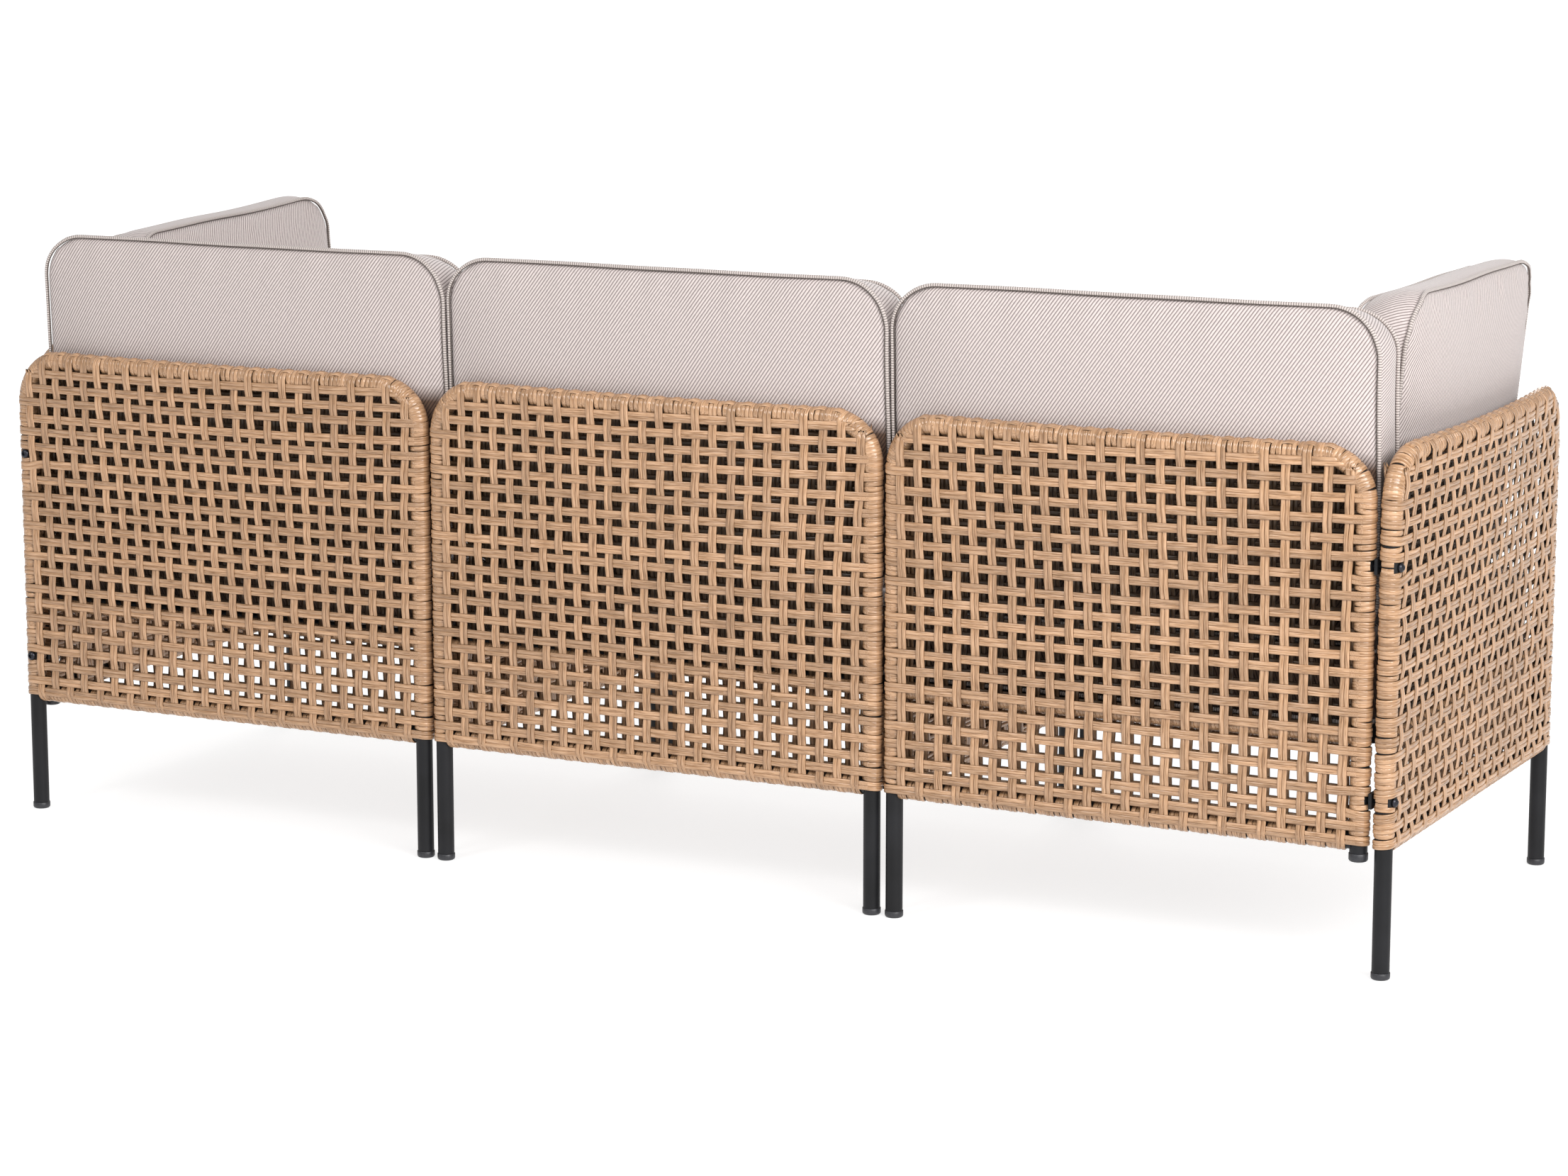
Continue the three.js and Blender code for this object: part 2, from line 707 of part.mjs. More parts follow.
// The middle module has its right rear leg at the origin and its panel along -X
function middleModule(prefix) {
  const module = new THREE.Group();
  const seat = middleSeat;
  const seatTools = seatBoltCutters(seat, vector(0, 0, 0), 0);
  const inPanel = seatTools.map((tool) => tool.translate([longPanelSpan, 0, 0]));
  const panelPlace = vector(-longPanelSpan, 0, 0);
  addPiece(module, `${prefix}_panel_frame`, geometryFrom(cutBy(panelFrame(longPanel, 0), inPanel)),
    steelBlack, panelPlace);
  addPiece(module, `${prefix}_panel_weave`, geometryFrom(panelWeave(longPanel, inPanel)), rattan, panelPlace);

  addPiece(module, `${prefix}_seat_frame`, geometryFrom(cutBy(seatFrameSolid(seat, 0), seatTools)), steelBlack);
  const frontSkirt = skirtWeave(seat, vector(seat.right, seat.front, 0), 180, seat.right - seat.left);
  addPiece(module, `${prefix}_front_skirt_weave`, geometryFrom(frontSkirt), skirtRattan);
  const sideSpan = seat.rear - seat.front - nestSpacing;
  const leftSkirt = skirtWeave(seat, vector(seat.left, seat.front + nestSpacing, 0), 90, sideSpan);
  addPiece(module, `${prefix}_left_skirt_weave`, geometryFrom(leftSkirt), skirtRattan);
  const rightSkirt = skirtWeave(seat, vector(seat.right, seat.rear, 0), -90, sideSpan);
  addPiece(module, `${prefix}_right_skirt_weave`, geometryFrom(rightSkirt), skirtRattan);
  addSeatBolts(module, prefix, seat);

  addFeet(module, prefix, {
    rear_right: [0, 0],
    rear_left: [-longPanelSpan, 0],
    front_right: [seat.right, seat.front],
    front_left: [seat.left, seat.front],
  });

  const seatWidth = cornerWidth - (seatCushionGap + cushionBulge) * 2;
  const seatDepth = longPanelSpan - (seatCushionGap + cushionBulge) * 2;
  const seatMiddle = vector(-longPanelSpan / 2, -wrapRadius - longPanelSpan / 2, seatTop + fitGap);
  addPiece(module, `${prefix}_seat_cushion`, seatCushion(seatWidth, seatDepth), greigeFabric, seatMiddle);
  return module;
}

function placeModule(module, x, turn) {
  module.position.set(x, rearLine, 0);
  module.rotation.z = angle(turn);
  group.add(module);
}

const rightCornerX = rowSpan / 2;
const leftCornerX = -rowSpan / 2;
const middleX = rightCornerX - longPanelSpan - wrapRadius * 2 - moduleGap;
placeModule(cornerModule('right'), rightCornerX, 0);
placeModule(middleModule('middle'), middleX, 0);
placeModule(cornerModule('left'), leftCornerX, 90);

// Back cushions stand on the seat cushions and lean on the woven backs, side cushions stand in front of them
const backCushion = looseCushion(backCushionWidth, backCushionTop - backCushionFoot, backCushionCrown);
const backCushionY = rearLine - backCushionStandoff - looseCushionSide / 2;
const backCushionZ = (backCushionTop + backCushionFoot) / 2;
const backCushionPitch = backCushionWidth + backCushionGap;
const backCushions = { left: -backCushionPitch, middle: 0, right: backCushionPitch };
Object.entries(backCushions).forEach(([name, x]) => {
  const place = vector(x, backCushionY, backCushionZ);
  const piece = addPiece(group, `${name}_back_cushion`, backCushion, greigeFabric, place);
  piece.rotation.x = -angle(backCushionLean);
});

const sideCushion = looseCushion(sideCushionLength, sideCushionTop - sideCushionFoot, sideCushionCrown);
const backCushionFront = backCushionY - looseCushionSide / 2;
const sideCushionZ = (sideCushionTop + sideCushionFoot) / 2;
const sideCushions = { left: [leftCornerX, 1], right: [rightCornerX, -1] };
Object.entries(sideCushions).forEach(([name, [panelX, inward]]) => {
  const x = panelX + inward * (sideCushionStandoff + looseCushionSide / 2);
  const rear = backCushionFront - sideCushionGaps[name] - cushionBulge;
  const holder = new THREE.Group();
  holder.position.set(x, rear - sideCushionLength / 2, sideCushionZ - sideCushionDrops[name]);
  holder.rotation.z = angle(90 * inward);
  const piece = addPiece(holder, `${name}_side_cushion`, sideCushion, greigeFabric);
  piece.rotation.x = -angle(sideCushionLean);
  group.add(holder);
});

export default group;
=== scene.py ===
import math
import random

import bpy
import numpy as np
from mathutils import Matrix, Vector, noise


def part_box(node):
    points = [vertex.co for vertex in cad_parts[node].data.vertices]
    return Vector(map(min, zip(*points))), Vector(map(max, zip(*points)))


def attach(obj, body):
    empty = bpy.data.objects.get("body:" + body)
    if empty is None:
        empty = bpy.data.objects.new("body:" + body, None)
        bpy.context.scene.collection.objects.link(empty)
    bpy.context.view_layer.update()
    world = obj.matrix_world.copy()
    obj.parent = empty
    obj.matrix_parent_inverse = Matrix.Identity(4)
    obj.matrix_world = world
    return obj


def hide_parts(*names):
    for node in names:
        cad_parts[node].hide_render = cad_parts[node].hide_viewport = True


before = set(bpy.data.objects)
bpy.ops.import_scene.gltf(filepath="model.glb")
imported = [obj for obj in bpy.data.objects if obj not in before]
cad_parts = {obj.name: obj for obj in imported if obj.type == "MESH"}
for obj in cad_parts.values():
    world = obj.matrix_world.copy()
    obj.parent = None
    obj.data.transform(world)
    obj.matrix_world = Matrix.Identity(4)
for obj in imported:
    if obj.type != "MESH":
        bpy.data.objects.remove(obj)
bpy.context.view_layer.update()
print("frame loaded:", len(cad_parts), "nodes")

mm = 0.001
quarter = math.pi / 2

# the three loose modules: where each one's rear corner stands and how far it is turned, in mm and degrees
modules = {
    "right": {"origin": (1124.0, 359.0), "turn": 0.0},
    "middle": {"origin": (369.0, 359.0), "turn": 0.0},
    "left": {"origin": (-1124.0, 359.0), "turn": 90.0},
}

# how far apart a module's tubes stand, in mm
layout = {
    "longSpan": 719.0,  # a long panel, and the middle module's depth
    "cornerDepth": 738.0,  # a corner module, from its long panel to its front
    "cornerGap": 36.0,  # between the two panels' tubes at the corner
    "inset": 31.3,  # from a panel's tube to the seat frame's beside it
}

# the tubes that the weave is made on, in mm
hoop = {
    "tubeRadius": 12.5,
    "crossRadius": 8.0,
    "lowRail": 191.5,
    "crossRail": 334.0,
    "topRail": 724.5,
    "cornerRadius": 65.0,
    "bow": 20.0,
    "bowFoot": 350.0,
    "seatTop": 349.5,
    "tubeFoot": 10.3,
    "cutFoot": 175.0,
    "railEnd": 8.0,
    "boltHeights": (575.0, 250.0),
}

longSpan, inset, cornerDepth = layout["longSpan"], layout["inset"], layout["cornerDepth"]
shortSpan = cornerDepth - layout["cornerGap"]
boltHeights = hoop["boltHeights"]


def placeOf(moduleName, startX, startY, turn):
    # matrix from a panel's own mm (along, outward, up) to the row's metres
    module = modules[moduleName]
    stand = Matrix.Translation((module["origin"][0] * mm, module["origin"][1] * mm, 0)) \
        @ Matrix.Rotation(math.radians(module["turn"]), 4, "Z")
    panel = Matrix.Translation((startX * mm, startY * mm, 0)) @ Matrix.Rotation(math.radians(turn), 4, "Z")
    return stand @ panel @ Matrix.Scale(mm, 4)


def unit(vectors):
    return vectors / np.maximum(np.linalg.norm(vectors, axis=1, keepdims=True), 1e-12)


def moved(points, place):
    return np.asarray(points, float) @ np.array(place.to_3x3()).T + np.array(place.translation)


def turned(directions, place):
    return unit(np.asarray(directions, float) @ np.array(place.to_3x3()).T)


def bowAt(along, height, span, depth):
    # how far a tall panel bows outward, most in the middle of its top
    share = np.clip(along / span, 0, 1)
    rise = np.clip((height - hoop["crossRail"]) / (hoop["topRail"] - hoop["crossRail"]), 0, None)
    return depth * 4 * share * (1 - share) * rise


def newPiece(name, data):
    piece = bpy.data.objects.new(name, data)
    bpy.context.scene.collection.objects.link(piece)
    return piece


def linear(code):
    # an sRGB hex colour as Blender's linear colour
    shares = [int(code[i:i + 2], 16) / 255 for i in (1, 3, 5)]
    return tuple(s / 12.92 if s <= 0.04045 else ((s + 0.055) / 1.055) ** 2.4 for s in shares) + (1.0,)


def connect(tree, node, links):
    # gives each input its value, or the output that feeds it; a node stands for its first output
    for name, value in links.items():
        if isinstance(value, bpy.types.Node):
            value = value.outputs[0]
        if isinstance(value, bpy.types.NodeSocket):
            tree.links.new(value, node.inputs[name])
        else:
            node.inputs[name].default_value = value


def addNode(tree, kind, settings=None, links=None, stops=()):
    # one node with its settings and links; stops are a colour ramp's places and colours
    node = tree.nodes.new(kind)
    for name, value in (settings or {}).items():
        setattr(node, name, value)
    connect(tree, node, links or {})
    for index, (position, code) in enumerate(stops):
        elements = node.color_ramp.elements
        element = elements[index] if index < len(elements) else elements.new(position)
        element.position = position
        element.color = linear(code)
    return node


def newTree(name, inputs):
    tree = bpy.data.node_groups.new(name, "GeometryNodeTree")
    tree.interface.new_socket("Geometry", in_out="INPUT", socket_type="NodeSocketGeometry")
    for label, kind, value in inputs:
        socket = tree.interface.new_socket(label, in_out="INPUT", socket_type="NodeSocket" + kind)
        if value is not None:
            socket.default_value = value
    tree.interface.new_socket("Geometry", in_out="OUTPUT", socket_type="NodeSocketGeometry")
    return tree, tree.nodes.new("NodeGroupInput"), tree.nodes.new("NodeGroupOutput")


def endTree(tree, start, end, made):
    real = addNode(tree, "GeometryNodeRealizeInstances", None, {"Geometry": made})
    dressed = addNode(tree, "GeometryNodeSetMaterial", None,
                      {"Geometry": real, "Material": start.outputs["Material"]})
    connect(tree, end, {0: dressed})
    return tree


def runTree(piece, tree, values):
    # runs a tree on a mesh object, keeps the plain result and drops the modifier
    modifier = piece.modifiers.new("shape", "NODES")
    modifier.node_group = tree
    for item in tree.interface.items_tree:
        if item.item_type == "SOCKET" and item.in_out == "INPUT" and item.name in values:
            modifier[item.identifier] = values[item.name]
    seen = piece.evaluated_get(bpy.context.evaluated_depsgraph_get())
    made = bpy.data.meshes.new_from_object(seen)
    piece.modifiers.remove(modifier)
    old = piece.data
    piece.data = made
    bpy.data.meshes.remove(old)
    made.name = piece.name
    return piece


def sweepTree(name, inputs, makeProfile):
    # sweeps a profile along every path of the mesh, turned at each point by the attribute "facing"
    tree, start, end = newTree(name, inputs + [("Material", "Material", None)])
    paths = addNode(tree, "GeometryNodeMeshToCurve", None, {"Mesh": start.outputs["Geometry"]})
    facing = addNode(tree, "GeometryNodeInputNamedAttribute", {"data_type": "FLOAT_VECTOR"}, {"Name": "facing"})
    aimed = addNode(tree, "GeometryNodeSetCurveNormal", {"mode": "FREE"}, {"Curve": paths, "Normal": facing})
    run = addNode(tree, "GeometryNodeSplineParameter")
    measured = addNode(tree, "GeometryNodeStoreNamedAttribute", {"data_type": "FLOAT", "domain": "POINT"},
                       {"Geometry": aimed, "Name": "grainAlong", "Value": run.outputs["Length"]})
    profile = makeProfile(tree, start.outputs)
    swept = addNode(tree, "GeometryNodeCurveToMesh", None,
                    {"Curve": measured, "Profile Curve": profile, "Fill Caps": True})
    smooth = addNode(tree, "GeometryNodeSetShadeSmooth", None, {"Geometry": swept})
    return endTree(tree, start, end, smooth)


def strandProfile(tree, sizes):
    # one plastic strand: half round, with its top and edges flattened
    arc = addNode(tree, "GeometryNodeCurveArc", {"mode": "RADIUS"},
                  {"Resolution": sizes["Profile Points"], "Radius": 1.0,
                   "Start Angle": -quarter, "Sweep Angle": math.pi})
    across = addNode(tree, "GeometryNodeSplineParameter")
    ribbed = addNode(tree, "GeometryNodeStoreNamedAttribute", {"data_type": "FLOAT", "domain": "POINT"},
                     {"Geometry": arc, "Name": "grainAcross", "Value": across.outputs["Factor"]})
    spot = addNode(tree, "GeometryNodeInputPosition")
    parts = addNode(tree, "ShaderNodeSeparateXYZ", None, {"Vector": spot})
    rise = addNode(tree, "ShaderNodeMath", {"operation": "MAXIMUM"}, {0: parts.outputs["X"], 1: 0.0})
    lifted = addNode(tree, "ShaderNodeMath", {"operation": "POWER"}, {0: rise, 1: sizes["Flatness"]})
    reach = addNode(tree, "ShaderNodeMath", {"operation": "ABSOLUTE"}, {0: parts.outputs["Y"]})
    spread = addNode(tree, "ShaderNodeMath", {"operation": "POWER"}, {0: reach, 1: sizes["Flatness"]})
    side = addNode(tree, "ShaderNodeMath", {"operation": "SIGN"}, {0: parts.outputs["Y"]})
    out = addNode(tree, "ShaderNodeMath", {"operation": "MULTIPLY"}, {0: spread, 1: side})
    flatter = addNode(tree, "ShaderNodeCombineXYZ", None, {"X": lifted, "Y": out})
    squared = addNode(tree, "GeometryNodeSetPosition", None, {"Geometry": ribbed, "Position": flatter})
    closed = addNode(tree, "GeometryNodeSetSplineCyclic", None, {"Geometry": squared, "Cyclic": True})
    half = addNode(tree, "ShaderNodeMath", {"operation": "MULTIPLY"}, {0: sizes["Width"], 1: 0.5})
    size = addNode(tree, "ShaderNodeCombineXYZ", None, {"X": sizes["Thickness"], "Y": half, "Z": 1.0})
    drop = addNode(tree, "ShaderNodeMath", {"operation": "MULTIPLY"}, {0: sizes["Thickness"], 1: -0.5})
    down = addNode(tree, "ShaderNodeCombineXYZ", None, {"X": drop})
    return addNode(tree, "GeometryNodeTransform", None,
                   {"Geometry": closed, "Scale": size, "Translation": down})


def roundProfile(tree, sizes):
    # tubes, piping and stitches
    return addNode(tree, "GeometryNodeCurvePrimitiveCircle", {"mode": "RADIUS"},
                   {"Resolution": sizes["Sides"], "Radius": sizes["Radius"]})


strandSweep = sweepTree("strandSweep", [
    ("Width", "Float", 0.0069), ("Thickness", "Float", 0.002),
    ("Flatness", "Float", 0.66), ("Profile Points", "Int", 6)], strandProfile)
roundSweep = sweepTree("roundSweep", [("Radius", "Float", 0.0125), ("Sides", "Int", 24)], roundProfile)


def newMaterial(name):
    material = bpy.data.materials.new(name)
    material.use_nodes = True
    return material, material.node_tree, material.node_tree.nodes["Principled BSDF"]


def ribWave(tree, across, pitch):
    # swings from -1 to 1 once in each pitch, given in mm
    turn = addNode(tree, "ShaderNodeMath", {"operation": "MULTIPLY"},
                   {0: across, 1: 2 * math.pi / (pitch * mm)})
    return addNode(tree, "ShaderNodeMath", {"operation": "SINE"}, {0: turn})


def strandMaterial():
    # extruded polyethylene cane strand: a satin sheen along the run, fine printed grain and streaks
    material, tree, surface = newMaterial("extrudedCaneStrand")
    along, across, tone, inner = (
        addNode(tree, "ShaderNodeAttribute", {"attribute_name": name}).outputs["Fac"]
        for name in ("grainAlong", "grainAcross", "tone", "inner"))
    run = addNode(tree, "ShaderNodeMath", {"operation": "MULTIPLY"}, {0: along, 1: 38.0})
    side = addNode(tree, "ShaderNodeMath", {"operation": "MULTIPLY"}, {0: across, 1: 7.0})
    shift = addNode(tree, "ShaderNodeMath", {"operation": "MULTIPLY"}, {0: tone, 1: 61.0})
    spot = addNode(tree, "ShaderNodeCombineXYZ", None, {"X": run, "Y": side, "Z": shift})
    grain = addNode(tree, "ShaderNodeTexNoise", None,
                    {"Vector": spot, "Scale": 1.0, "Detail": 3.0, "Roughness": 0.6})
    ramp = addNode(tree, "ShaderNodeValToRGB", None, {"Fac": grain},
                   ((0.26, "#765334"), (0.46, "#a88260"), (0.62, "#bf9978")))
    shade = addNode(tree, "ShaderNodeMapRange", None, {"Value": tone, "To Min": 0.8, "To Max": 1.14})
    # painted shade: the layer behind is drawn darker, as it gets less light
    paintedInnerShade = addNode(tree, "ShaderNodeMapRange", None, {"Value": inner, "To Min": 1.0, "To Max": 0.22})
    # painted shade: each edge of a strand is darker, for the shadow in the gaps between strands
    fromMiddle = addNode(tree, "ShaderNodeMath", {"operation": "SUBTRACT"}, {0: across, 1: 0.5})
    reach = addNode(tree, "ShaderNodeMath", {"operation": "ABSOLUTE"}, {0: fromMiddle})
    edge = addNode(tree, "ShaderNodeMapRange", {"interpolation_type": "SMOOTHSTEP"},
                   {"Value": reach, "From Min": 0.28, "From Max": 0.45, "To Min": 1.0, "To Max": 0.5})
    both = addNode(tree, "ShaderNodeMath", {"operation": "MULTIPLY"}, {0: shade, 1: paintedInnerShade})
    allThree = addNode(tree, "ShaderNodeMath", {"operation": "MULTIPLY"}, {0: both, 1: edge})
    tinted = addNode(tree, "ShaderNodeVectorMath", {"operation": "SCALE"}, {0: ramp, "Scale": allThree})
    bump = addNode(tree, "ShaderNodeBump", None, {"Height": grain, "Strength": 0.2, "Distance": 0.0005})
    connect(tree, surface, {"Base Color": tinted, "Normal": bump, "Roughness": 0.22, "IOR": 1.6})
    return material


def steelMaterial():
    # powder-coated steel: anthracite, an even satin with a very fine pebble
    material, tree, surface = newMaterial("powderCoatedSteel")
    spot = addNode(tree, "ShaderNodeTexCoord").outputs["Object"]
    pebble, wide = (
        addNode(tree, "ShaderNodeTexNoise", None,
                {"Vector": spot, "Scale": scale, "Detail": 2.0, "Roughness": 0.5})
        for scale in (900.0, 14.0))
    ramp = addNode(tree, "ShaderNodeValToRGB", None, {"Fac": wide}, ((0.35, "#131315"), (0.7, "#1d1d20")))
    bump = addNode(tree, "ShaderNodeBump", None, {"Height": pebble, "Strength": 0.25, "Distance": 0.0003})
    connect(tree, surface, {"Base Color": ramp, "Normal": bump, "Roughness": 0.5, "Specular IOR Level": 0.28})
    return material


def clothMaterial():
    # woven polyester with a raised diagonal rib: dull, with a pale thread and a grey shadow line
    material, tree, surface = newMaterial("diagonalRibCloth")
    cut = addNode(tree, "ShaderNodeUVMap", {"uv_map": "clothUV"})
    parts = addNode(tree, "ShaderNodeSeparateXYZ", None, {"Vector": cut})
    wave = ribWave(tree, parts.outputs["X"], 4.4)
    rib = addNode(tree, "ShaderNodeMapRange", None, {"Value": wave, "From Min": -1.0, "From Max": 1.0})
    spot = addNode(tree, "ShaderNodeTexCoord").outputs["Object"]
    mottle = addNode(tree, "ShaderNodeTexNoise", None,
                     {"Vector": spot, "Scale": 260.0, "Detail": 2.0, "Roughness": 0.6})
    ramp = addNode(tree, "ShaderNodeValToRGB", None, {"Fac": rib}, ((0.05, "#817673"), (0.55, "#cec2bf")))
    shade = addNode(tree, "ShaderNodeMapRange", None,
                    {"Value": mottle, "From Min": 0.3, "From Max": 0.7, "To Min": 0.93, "To Max": 1.06})
    tinted = addNode(tree, "ShaderNodeVectorMath", {"operation": "SCALE"}, {0: ramp, "Scale": shade})
    # painted shade: close behind the weave the cloth is multiplied by a dark brown, as it only gets light that
    # the brown strands have thrown back
    axes = addNode(tree, "ShaderNodeSeparateXYZ", None, {"Vector": spot})
    aside = addNode(tree, "ShaderNodeMath", {"operation": "ABSOLUTE"}, {0: axes.outputs["X"]})
    atSide, beside, atRear, under = (
        addNode(tree, "ShaderNodeMapRange", None, {"Value": place, "From Min": none, "From Max": full})
        for place, none, full in ((aside, 1.045, 1.07), (axes.outputs["Y"], -0.31, -0.27),
                                  (axes.outputs["Y"], 0.29, 0.315), (axes.outputs["Z"], 0.725, 0.7)))
    flank = addNode(tree, "ShaderNodeMath", {"operation": "MULTIPLY"}, {0: atSide, 1: beside})
    either = addNode(tree, "ShaderNodeMath", {"operation": "MAXIMUM"}, {0: flank, 1: atRear})
    behind = addNode(tree, "ShaderNodeMath", {"operation": "MULTIPLY"}, {0: either, 1: under})
    # inputs 6 and 7 and output 2 are the colours of a Mix node
    paintedShade = addNode(tree, "ShaderNodeMix", {"data_type": "RGBA", "blend_type": "MULTIPLY"},
                     {"Factor": behind, 6: tinted, 7: linear("#7c6553")})
    bump = addNode(tree, "ShaderNodeBump", None, {"Height": rib, "Strength": 0.5, "Distance": 0.0008})
    connect(tree, surface, {"Base Color": paintedShade.outputs[2], "Normal": bump, "Roughness": 0.85,
                            "Sheen Weight": 0.25, "Sheen Roughness": 0.5, "IOR": 1.45})
    return material


def pipingMaterial():
    # the same rib cloth cut on the bias round a cord: short cross beads
    material, tree, surface = newMaterial("ribClothPiping")
    along = addNode(tree, "ShaderNodeAttribute", {"attribute_name": "grainAlong"})
    wave = ribWave(tree, along.outputs["Fac"], 3.6)
    rib = addNode(tree, "ShaderNodeMapRange", None, {"Value": wave, "From Min": -1.0, "From Max": 1.0})
    ramp = addNode(tree, "ShaderNodeValToRGB", None, {"Fac": rib}, ((0.1, "#827974"), (0.6, "#cabfba")))
    bump = addNode(tree, "ShaderNodeBump", None, {"Height": rib, "Strength": 0.6, "Distance": 0.0008})
    connect(tree, surface, {"Base Color": ramp, "Normal": bump, "Roughness": 0.85, "Sheen Weight": 0.2})
    return material


def shadowLineThreadMaterial():
    # taupe sewing thread drawn into the seam, kept dark as painted shade: it stands in for the shadow line
    # beside the cord
    material, tree, surface = newMaterial("seamThreadShadowLine")
    along = addNode(tree, "ShaderNodeAttribute", {"attribute_name": "grainAlong"})
    wave = ribWave(tree, along.outputs["Fac"], 3.0)
    ramp = addNode(tree, "ShaderNodeValToRGB", None, {"Fac": wave}, ((0.0, "#4a423e"), (1.0, "#6b615b")))
    connect(tree, surface, {"Base Color": ramp, "Roughness": 0.9})
    return material


def plasticMaterial():
    # moulded polypropylene cap: near black, softly shiny
    material, tree, surface = newMaterial("mouldedCapPlastic")
    spot = addNode(tree, "ShaderNodeTexCoord").outputs["Object"]
    grit = addNode(tree, "ShaderNodeTexNoise", None,
                   {"Vector": spot, "Scale": 700.0, "Detail": 2.0, "Roughness": 0.5})
    ramp = addNode(tree, "ShaderNodeValToRGB", None, {"Fac": grit}, ((0.0, "#1f1f22"), (1.0, "#3b3b3f")))
    bump = addNode(tree, "ShaderNodeBump", None, {"Height": grit, "Strength": 0.2, "Distance": 0.0003})
    connect(tree, surface, {"Base Color": ramp, "Normal": bump, "Roughness": 0.42})
    return material


def boltMaterial():
    # black zinc-plated steel: dark, with small bright edges
    material, tree, surface = newMaterial("blackZincBolt")
    spot = addNode(tree, "ShaderNodeTexCoord").outputs["Object"]
    grit = addNode(tree, "ShaderNodeTexNoise", None,
                   {"Vector": spot, "Scale": 500.0, "Detail": 3.0, "Roughness": 0.6})
    rough = addNode(tree, "ShaderNodeMapRange", None, {"Value": grit, "To Min": 0.22, "To Max": 0.45})
    ramp = addNode(tree, "ShaderNodeValToRGB", None, {"Fac": grit}, ((0.0, "#242428"), (1.0, "#4a4a50")))
    connect(tree, surface, {"Base Color": ramp, "Roughness": rough, "Metallic": 0.9})
    return material


cane, steel, cloth = strandMaterial(), steelMaterial(), clothMaterial()
piping, shadowLineThread = pipingMaterial(), shadowLineThreadMaterial()
plastic, boltMetal = plasticMaterial(), boltMaterial()
print("materials made")


def newBundle():
    return {"points": [], "facing": [], "tone": [], "closed": [], "inner": []}


def addPath(bundle, points, facing, tone=0.5, closed=True, inner=None):
    # one path in metres; facing is made square to it, inner is its painted shade, 1 where it lies in the inner
    # layer
    points, facing = np.asarray(points, float), np.asarray(facing, float)
    tangent = np.roll(points, -1, 0) - np.roll(points, 1, 0) if closed else np.gradient(points, axis=0)
    tangent = unit(tangent)
    bundle["points"].append(points)
    bundle["facing"].append(unit(facing - tangent * np.sum(facing * tangent, axis=1, keepdims=True)))
    bundle["tone"].append(np.full(len(points), tone))
    bundle["closed"].append(closed)
    bundle["inner"].append(np.zeros(len(points)) if inner is None else np.asarray(inner, float))


def sweepPiece(name, bundle, tree, values):
    # a mesh of edges for the paths, then the sweep
    points = np.concatenate(bundle["points"])
    edges, first = [], 0
    for path, closed in zip(bundle["points"], bundle["closed"]):
        index = np.arange(len(path)) + first
        links = np.stack([index, np.roll(index, -1)], 1)
        edges.append(links if closed else links[:-1])
        first += len(path)
    edges = np.concatenate(edges)
    mesh = bpy.data.meshes.new(name)
    mesh.vertices.add(len(points))
    mesh.vertices.foreach_set("co", points.astype(np.float32).ravel())
    mesh.edges.add(len(edges))
    mesh.edges.foreach_set("vertices", edges.astype(np.int32).ravel())
    for label, kind, field in (("facing", "FLOAT_VECTOR", "vector"), ("tone", "FLOAT", "value"),
                               ("inner", "FLOAT", "value")):
        shares = np.concatenate(bundle[label]).astype(np.float32).ravel()
        mesh.attributes.new(label, kind, "POINT").data.foreach_set(field, shares)
    mesh.update()
    return runTree(newPiece(name, mesh), tree, values)


def settle(piece, nodes):
    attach(piece, "root")
    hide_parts(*nodes)


# the open weave, in mm
weave = {
    "pairWidth": 13.4,  # two strands side by side
    "strandWidth": 6.9,
    "fillWidth": 8.0,
    "strandThickness": 2.0,
    "flatness": 0.66,
    "columnPitch": 28.4,
    "nearColumn": 21.0,
    "farColumn": 17.0,
    "rowPitch": 25.8,
    "firstRow": 193.5,
    "underRail": 15.0,
    "lastGap": 22.5,
    "clearBelow": 14.5,  # the rows next to a bolt
    "clearAbove": 12.0,
    "rowTilt": 13.0,
    "rowSpread": 0.95,  # the gap in a band, as a share of that in an upright
    "level": 14.6,  # from the tubes' plane to the strands' middle
    "uprightRise": 1.45,
    "bandRise": 0.75,
    "fillLevel": 13.6,
    "wander": 1.1,
    "rowWander": 0.7,
    "rowJitter": 2.6,
    "boltBelow": 20.3,
    "boltAbove": 13.7,
    "boltOpening": 7.6,
    "nudgeReach": 20.0,
    "railPitch": 6.9,  # wraps on the rails and the posts
    "postPitch": 6.4,
    "bendWraps": 20,
    "bendTurn": (-4.0, 98.0),  # where the wraps of a bend start and how far they go, in degrees
    "tuckIn": 2.0,  # bands that end on the bend lie this much deeper
    "tuckRun": 25.0,
    "slip": (620.0, 340.0),  # the two layers shift against each other below the first height, over the second
    "shade": (300.0, 60.0),  # painted shade: the inner layer darkens from the first height, over the second
    "leastShade": 0.2,
    "pull": (470.0, 240.0),  # the uprights are drawn sideways above the first height, over the second
    "crownTurns": (66.0, 94.0),
    "crown": (13.5, 1.5),
    "crossWrap": {"first": 14.0, "margin": 24.0, "pitch": 6.4, "reach": 9.2, "tilt": 1.2, "steps": 10},
}


def columnsFor(span):
    run = span - weave["nearColumn"] - weave["farColumn"]
    count = int(round(run / weave["columnPitch"])) + 1
    return np.linspace(weave["nearColumn"], span - weave["farColumn"], count)


